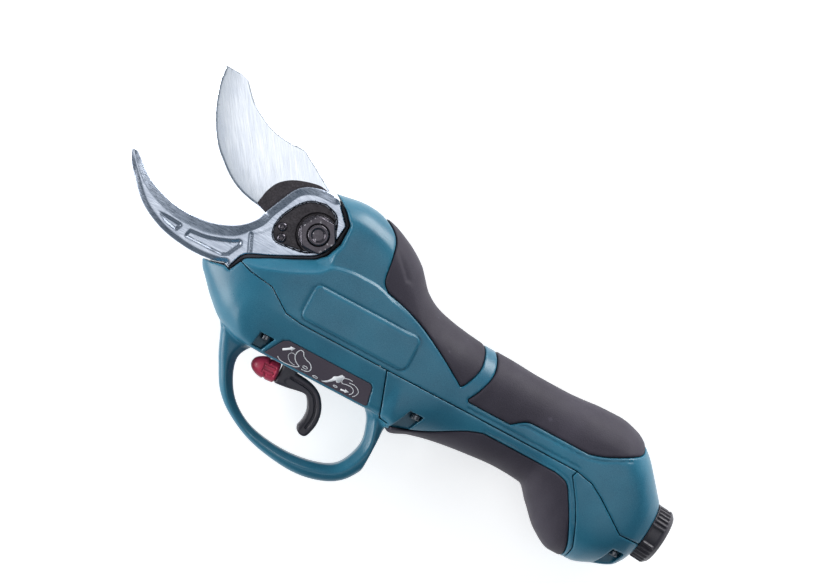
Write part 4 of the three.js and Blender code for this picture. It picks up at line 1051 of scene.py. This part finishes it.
def lock_knob():
    """A red bullet-shaped knob with a neck, and short ribs on its sides to turn it by."""
    grid = Grid((0, -73.5, -6.2), (16.2, -60.5, 6.2), 0.22)
    across, along = grid.x - KNOB_START[0], grid.y - KNOB_START[1]
    run = -across * math.cos(KNOB_TURN) - along * math.sin(KNOB_TURN)
    side = -across * math.sin(KNOB_TURN) + along * math.cos(KNOB_TURN)
    radius = np.sqrt(side ** 2 + grid.z ** 2)
    made = both(both((radius - through(KNOB_OUTLINE, run)) * 0.85, -run, 0.4), run - 13.45, 0.4)
    neck = both(np.abs(run - 5.4) - 0.5, 4.75 - radius)
    made = cut(made, neck, 0.2)
    window = both(both(np.abs(run - 4.6) - 3.0, np.abs(side) - 2.4), 4.3 - np.abs(grid.z))
    made = cut(made, window, 0.25)
    for middle in (-1.2, 1.2):
        rib = both(both(np.abs(run - 4.6) - 2.5, np.abs(side - middle) - 0.5), np.abs(grid.z) - 4.75)
        made = joined(made, rib, 0.15)
    from_field("lock_knob_moulded", grid, made, finish("red_plastic"), "lock_knob", ["lock_knob"])


trigger()
lock_knob()


# ---- tail -----------------------------------------------------------------------------------------------

RIB_GROUPS, RIBS_AROUND, RIB_HALF = 4, 36, 0.5  # groups, ribs if they went all around, half their height


def coupling_ring():
    """The ribbed ring that draws the supply plug up, with its ribs in groups."""
    grid = Grid((201, -66.5, -15.6), (216, -34, 15.6), 0.25)
    radius, height, side = tail_axis(grid)
    angle = np.arctan2(grid.z, side)
    group = np.cos(RIB_GROUPS * angle + math.pi) > -0.45
    rib = np.where(group, RIB_HALF * np.clip(1.6 * np.cos(RIBS_AROUND * angle), -1, 1), -RIB_HALF)
    wall = radius - (14.15 + rib * (1 - step_up(height, 6.4, 7.4)) * step_up(height, 0.7, 1.3))
    made = both(both(wall, GAP - height, 0.4), height - 9.6, 0.5)
    made = both(made, (radius + height * 0.9 - 14.2 - 7.4 * 0.9) / 1.35, 0.4)
    made = cut(made, radius - 11.4, 0.4)
    from_field("coupling_ring_moulded", grid, made, finish("black_plastic"), "coupling_ring",
               ["coupling_ring"])


def connector():
    """The socket and its three contact pins."""
    axis = (math.cos(TAIL_TILT), math.sin(TAIL_TILT), 0)
    start = (TAIL[0], TAIL[1], 0)
    cup = [(0, -11.5), (9.6, -11.5), (10, -11.1), (10, 0.5), (10.8, 0.5), (11, 0.7), (11, 8.1), (10.7, 8.4),
           (9.7, 8.4), (9.4, 8.1), (9.4, -1.7), (9.1, -2), (0, -2)]
    turned("connector_socket_moulded", cup, start, axis, finish("black_plastic"), nodes=["connector_socket"])
    pin = [(0, -1.6), (0.9, -1.6), (0.9, 4.6), (0.75, 5.1), (0.4, 5.4), (0, 5.4)]
    for i in range(3):
        angle = i * 2 * math.pi / 3
        up = Vector((-math.sin(TAIL_TILT), math.cos(TAIL_TILT), 0))
        off = (up * math.sin(angle) + Vector((0, 0, math.cos(angle)))) * 6.4
        turned(f"contact_pin_{i + 1}", pin, Vector(start) + off, axis, finish("bronze"),
               nodes=[f"connector_pin_{i + 1}"], around=24)


coupling_ring()
connector()


# ---- label ----------------------------------------------------------------------------------------------

def label(side_name, side):
    """The dark film in its recess on the leaning flank."""
    grid = Grid((2, -61, 18 if side > 0 else -24), (59, -48, 24 if side > 0 else -18), 0.3)
    depth = side * grid.z - FLANK + lean(grid.x, grid.y)
    made = both(both(outline(grid, LABEL), depth + 0.25, 0.25), -depth - 0.85)
    from_field(f"label_film_{side_name}", grid, made, finish("label_film"),
               nodes=[f"label_plate_{side_name}"])


# Lines and areas of the pictograms: an arrow over open shears, then a finger at the trigger, an arrow and
# closed shears, with a small mark between them.
PICTOGRAM_LINES = [
    (curve((9.6, -58.3), [(11, -59.2), (13.2, -59.6), (16.5, -59.4), (19.4, -58.8), (20.9, -57.9)]), 0.32),
    (curve((20.9, -57.9), [(18.8, -56.9), (17.3, -55.5), (16.7, -53.9), (16.9, -52), (17.9, -50.7)],
           [(19.3, -51), (20.4, -52.5), (22.3, -53.6), (24.3, -54.2), (25.7, -55.4), (26.2, -56.8),
            (25.6, -57.9), (24.1, -58.5), (22.2, -58.5)]), 0.34),
    (curve((18.6, -58.4), [(16, -57.9), (14.3, -56.6), (13.8, -55.1), (14.6, -53.9), (16, -53.8),
                           (16.6, -54.2)]), 0.2),
    (curve((46, -52.3), [(44, -52.3), (42, -52.9), (41.5, -54.4), (42.3, -55.4), (44.3, -55), (46.8, -55),
                         (48.4, -56), (48.5, -57.6), (47.4, -58.6)]), 0.3),
    (curve((45, -53.7), [(47.8, -53.6), (50, -54.6), (50.9, -56.1), (50.2, -57.9), (49.2, -58.6)]), 0.3),
]
PICTOGRAM_AREAS = [
    polyline([(9.8, -54), (12.9, -52), (12.8, -51.4), (15.2, -51.3), (14.2, -53.2), (13.6, -52.8),
              (10.3, -54.9)]),
    curve((32.9, -59), [(34.8, -57.9), (36, -56.8), (36.8, -55.6), (37.2, -54.4), (39, -53.3)],
          [(40.2, -51.9)], [(42, -52.3)], [(41.3, -53.8)], [(41, -55.6), (39.8, -56.3), (38.8, -55.6)],
          [(37.9, -56.6)], [(36.9, -57.4), (35.2, -58.6), (32.9, -59)], steps=4),
    polyline([(42.8, -57.9), (44.9, -57.7), (44.8, -57.1), (47, -57.6), (45.2, -58.8), (45, -58.4),
              (42.8, -58.6)]),
]
PICTOGRAM_RINGS = [((23.4, -57), 1.7, 0.8), ((29.6, -58.7), 1.8, 0.55), ((40, -58.2), 1.4, 0.5)]
PRINT_TOP, PRINT_FOOT = 0.07, -0.1  # heights of the print's two sides over the film


def pictograms(side_name, side):
    """Plain line drawings on the label, as thin raised print."""
    points, quads, triangles = [], [], []

    def lift(corner, out):
        height = FLANK - float(lean(*np.float64(corner))) - 0.25 + out
        return (corner[0], corner[1], side * height)

    def ribbon(line, width, closed=False):
        along = np.roll(line, -1, 0) - np.roll(line, 1, 0) if closed else np.gradient(line, axis=0)
        along = along / np.linalg.norm(along, axis=1)[:, None]
        across = np.stack([-along[:, 1], along[:, 0]], 1) * width / 2
        first, count = len(points), len(line)
        for p, a in zip(line, across):
            corners = ((p + a, PRINT_TOP), (p - a, PRINT_TOP), (p - a, PRINT_FOOT), (p + a, PRINT_FOOT))
            points.extend(lift(*c) for c in corners)
        for i in range(count if closed else count - 1):
            here, there = first + 4 * i, first + 4 * ((i + 1) % count)
            quads.extend((here + k, here + (k + 1) % 4, there + (k + 1) % 4, there + k) for k in range(4))
        if not closed:
            last = first + 4 * (count - 1)
            quads.extend([(first + 3, first + 2, first + 1, first), (last, last + 1, last + 2, last + 3)])

    def patch(corners):
        first, count = len(points), len(corners)
        points.extend(lift(c, out) for out in (PRINT_TOP, PRINT_FOOT) for c in corners)
        for t in tessellate_polygon([[Vector((x, y, 0)) for x, y in corners]]):
            triangles.extend([tuple(first + k for k in t), tuple(first + count + k for k in reversed(t))])
        for i in range(count):
            j = (i + 1) % count
            quads.append((first + i, first + count + i, first + count + j, first + j))

    for line, width in PICTOGRAM_LINES:
        ribbon(line, width)
    for middle, wide, high in PICTOGRAM_RINGS:
        turn = np.linspace(0, 2 * math.pi, 28, endpoint=False)[:, None]
        around = np.hstack([wide / 2 * np.cos(turn), high / 2 * np.sin(turn)]) * 1.4
        ribbon(np.array(middle) + around, 0.28, True)
    for corners in PICTOGRAM_AREAS:
        patch(corners[:-1] if np.allclose(corners[0], corners[-1]) else corners)
    made = mesh_object(f"pictograms_{side_name}", to_row(points), [np.array(quads), np.array(triangles)])
    weld(made)
    settle(made, (PRINT, "label_film"), "body", [])


for side_name, side in (("left", 1), ("right", -1)):
    label(side_name, side)
    pictograms(side_name, side)


# ---- camera, floor and light ----------------------------------------------------------------------------

# Soft boxes: name, place, size and power. The first stands past the handle's back, the second past the nose.
LAMPS = [("key", (0.3, 1.25, 0.38), 0.7, 18.0), ("rim", (-1.1, -0.35, 0.3), 0.7, 12.0)]
# Brightness of the studio's walls and ceiling by height: (sine of the elevation, brightness).
STUDIO = [(-1.0, 1.0), (0.0, 1.0), (0.12, 0.85), (0.3, 0.3), (0.6, 0.13), (0.88, 0.2), (0.94, 0.6),
          (0.975, 1.3), (1.0, 1.35)]
CEILING = (0.14, 0.09, 0.986)  # the ceiling light hangs a little past the pivot, towards the tail


def stage():
    """A pale floor, the studio around it and the soft boxes."""
    scene = bpy.context.scene
    bpy.ops.mesh.primitive_plane_add(size=6)
    floor = bpy.context.object
    floor.name = "floor"
    n = Nodes("floor_paint")
    paint = n.finish(n.blend(n.noise(300.0), (0.86, 0.86, 0.86, 1), (0.88, 0.88, 0.88, 1)), 0.9)
    n.shader.inputs["Emission Color"].default_value = (1, 1, 1, 1)
    n.shader.inputs["Emission Strength"].default_value = 0.62
    floor.data.materials.append(paint)
    scene.view_settings.view_transform = "Standard"
    scene.world = studio_world()
    for name, place, size, power in LAMPS:
        light = bpy.data.lights.new(name, "AREA")
        light.size = size
        light.energy = power
        lamp = bpy.data.objects.new(name, light)
        lamp.location = place
        lamp.rotation_mode = "QUATERNION"
        lamp.rotation_quaternion = (-Vector(place)).to_track_quat("-Z", "Y")
        scene.collection.objects.link(lamp)


def studio_world():
    """Walls and ceiling as a smooth change of brightness with height."""
    world = bpy.data.worlds.new("studio")
    world.use_nodes = True
    tree = world.node_tree
    place = tree.nodes.new("ShaderNodeTexCoord")
    dot = tree.nodes.new("ShaderNodeVectorMath")
    dot.operation = "DOT_PRODUCT"
    dot.inputs[1].default_value = CEILING
    height = tree.nodes.new("ShaderNodeMapRange")
    height.inputs["From Min"].default_value = -1
    height.inputs["From Max"].default_value = 1
    ramp = tree.nodes.new("ShaderNodeValToRGB")
    tree.links.new(place.outputs["Generated"], dot.inputs[0])
    tree.links.new(dot.outputs["Value"], height.inputs["Value"])
    tree.links.new(height.outputs[0], ramp.inputs["Fac"])
    brightest = max(b for _, b in STUDIO)
    stops = ramp.color_ramp.elements
    while len(stops) < len(STUDIO):
        stops.new(0.5)
    for stop, (sine, bright) in zip(stops, STUDIO):
        stop.position = (sine + 1) / 2
        cool = 1 - 0.3 * max(0, 0.9 - bright)
        level = bright / brightest
        stop.color = (level * cool ** 1.6, level * cool ** 0.7, level, 1)
    background = tree.nodes["Background"]
    background.inputs["Strength"].default_value = brightest
    tree.links.new(ramp.outputs["Color"], background.inputs["Color"])
    return world


def camera():
    """A long lens straight above the left flank, rolled so that the tool lies aslant as in a catalogue."""
    roll = math.radians(28.4)
    target = PIVOT + Vector((53.9, -2.3, 0)) / 1000
    distance, view_width = 1.7, 0.391
    up = Vector((-math.sin(roll), math.cos(roll), 0))
    back = Vector((-0.10, 0.02, 1)).normalized()
    up = (up - back * up.dot(back)).normalized()
    right = up.cross(back)
    data = bpy.data.cameras.new("camera")
    data.sensor_width = 36
    data.lens = 36 * distance / view_width
    made = bpy.data.objects.new("camera", data)
    made.matrix_world = Matrix((right, up, back)).transposed().to_4x4()
    made.location = target + back * distance
    bpy.context.scene.collection.objects.link(made)
    bpy.context.scene.camera = made


stage()
camera()

for node_object in frame["nodes"].values():
    for place in node_object.material_slots:
        place.material = FINISHES[place.material.name]
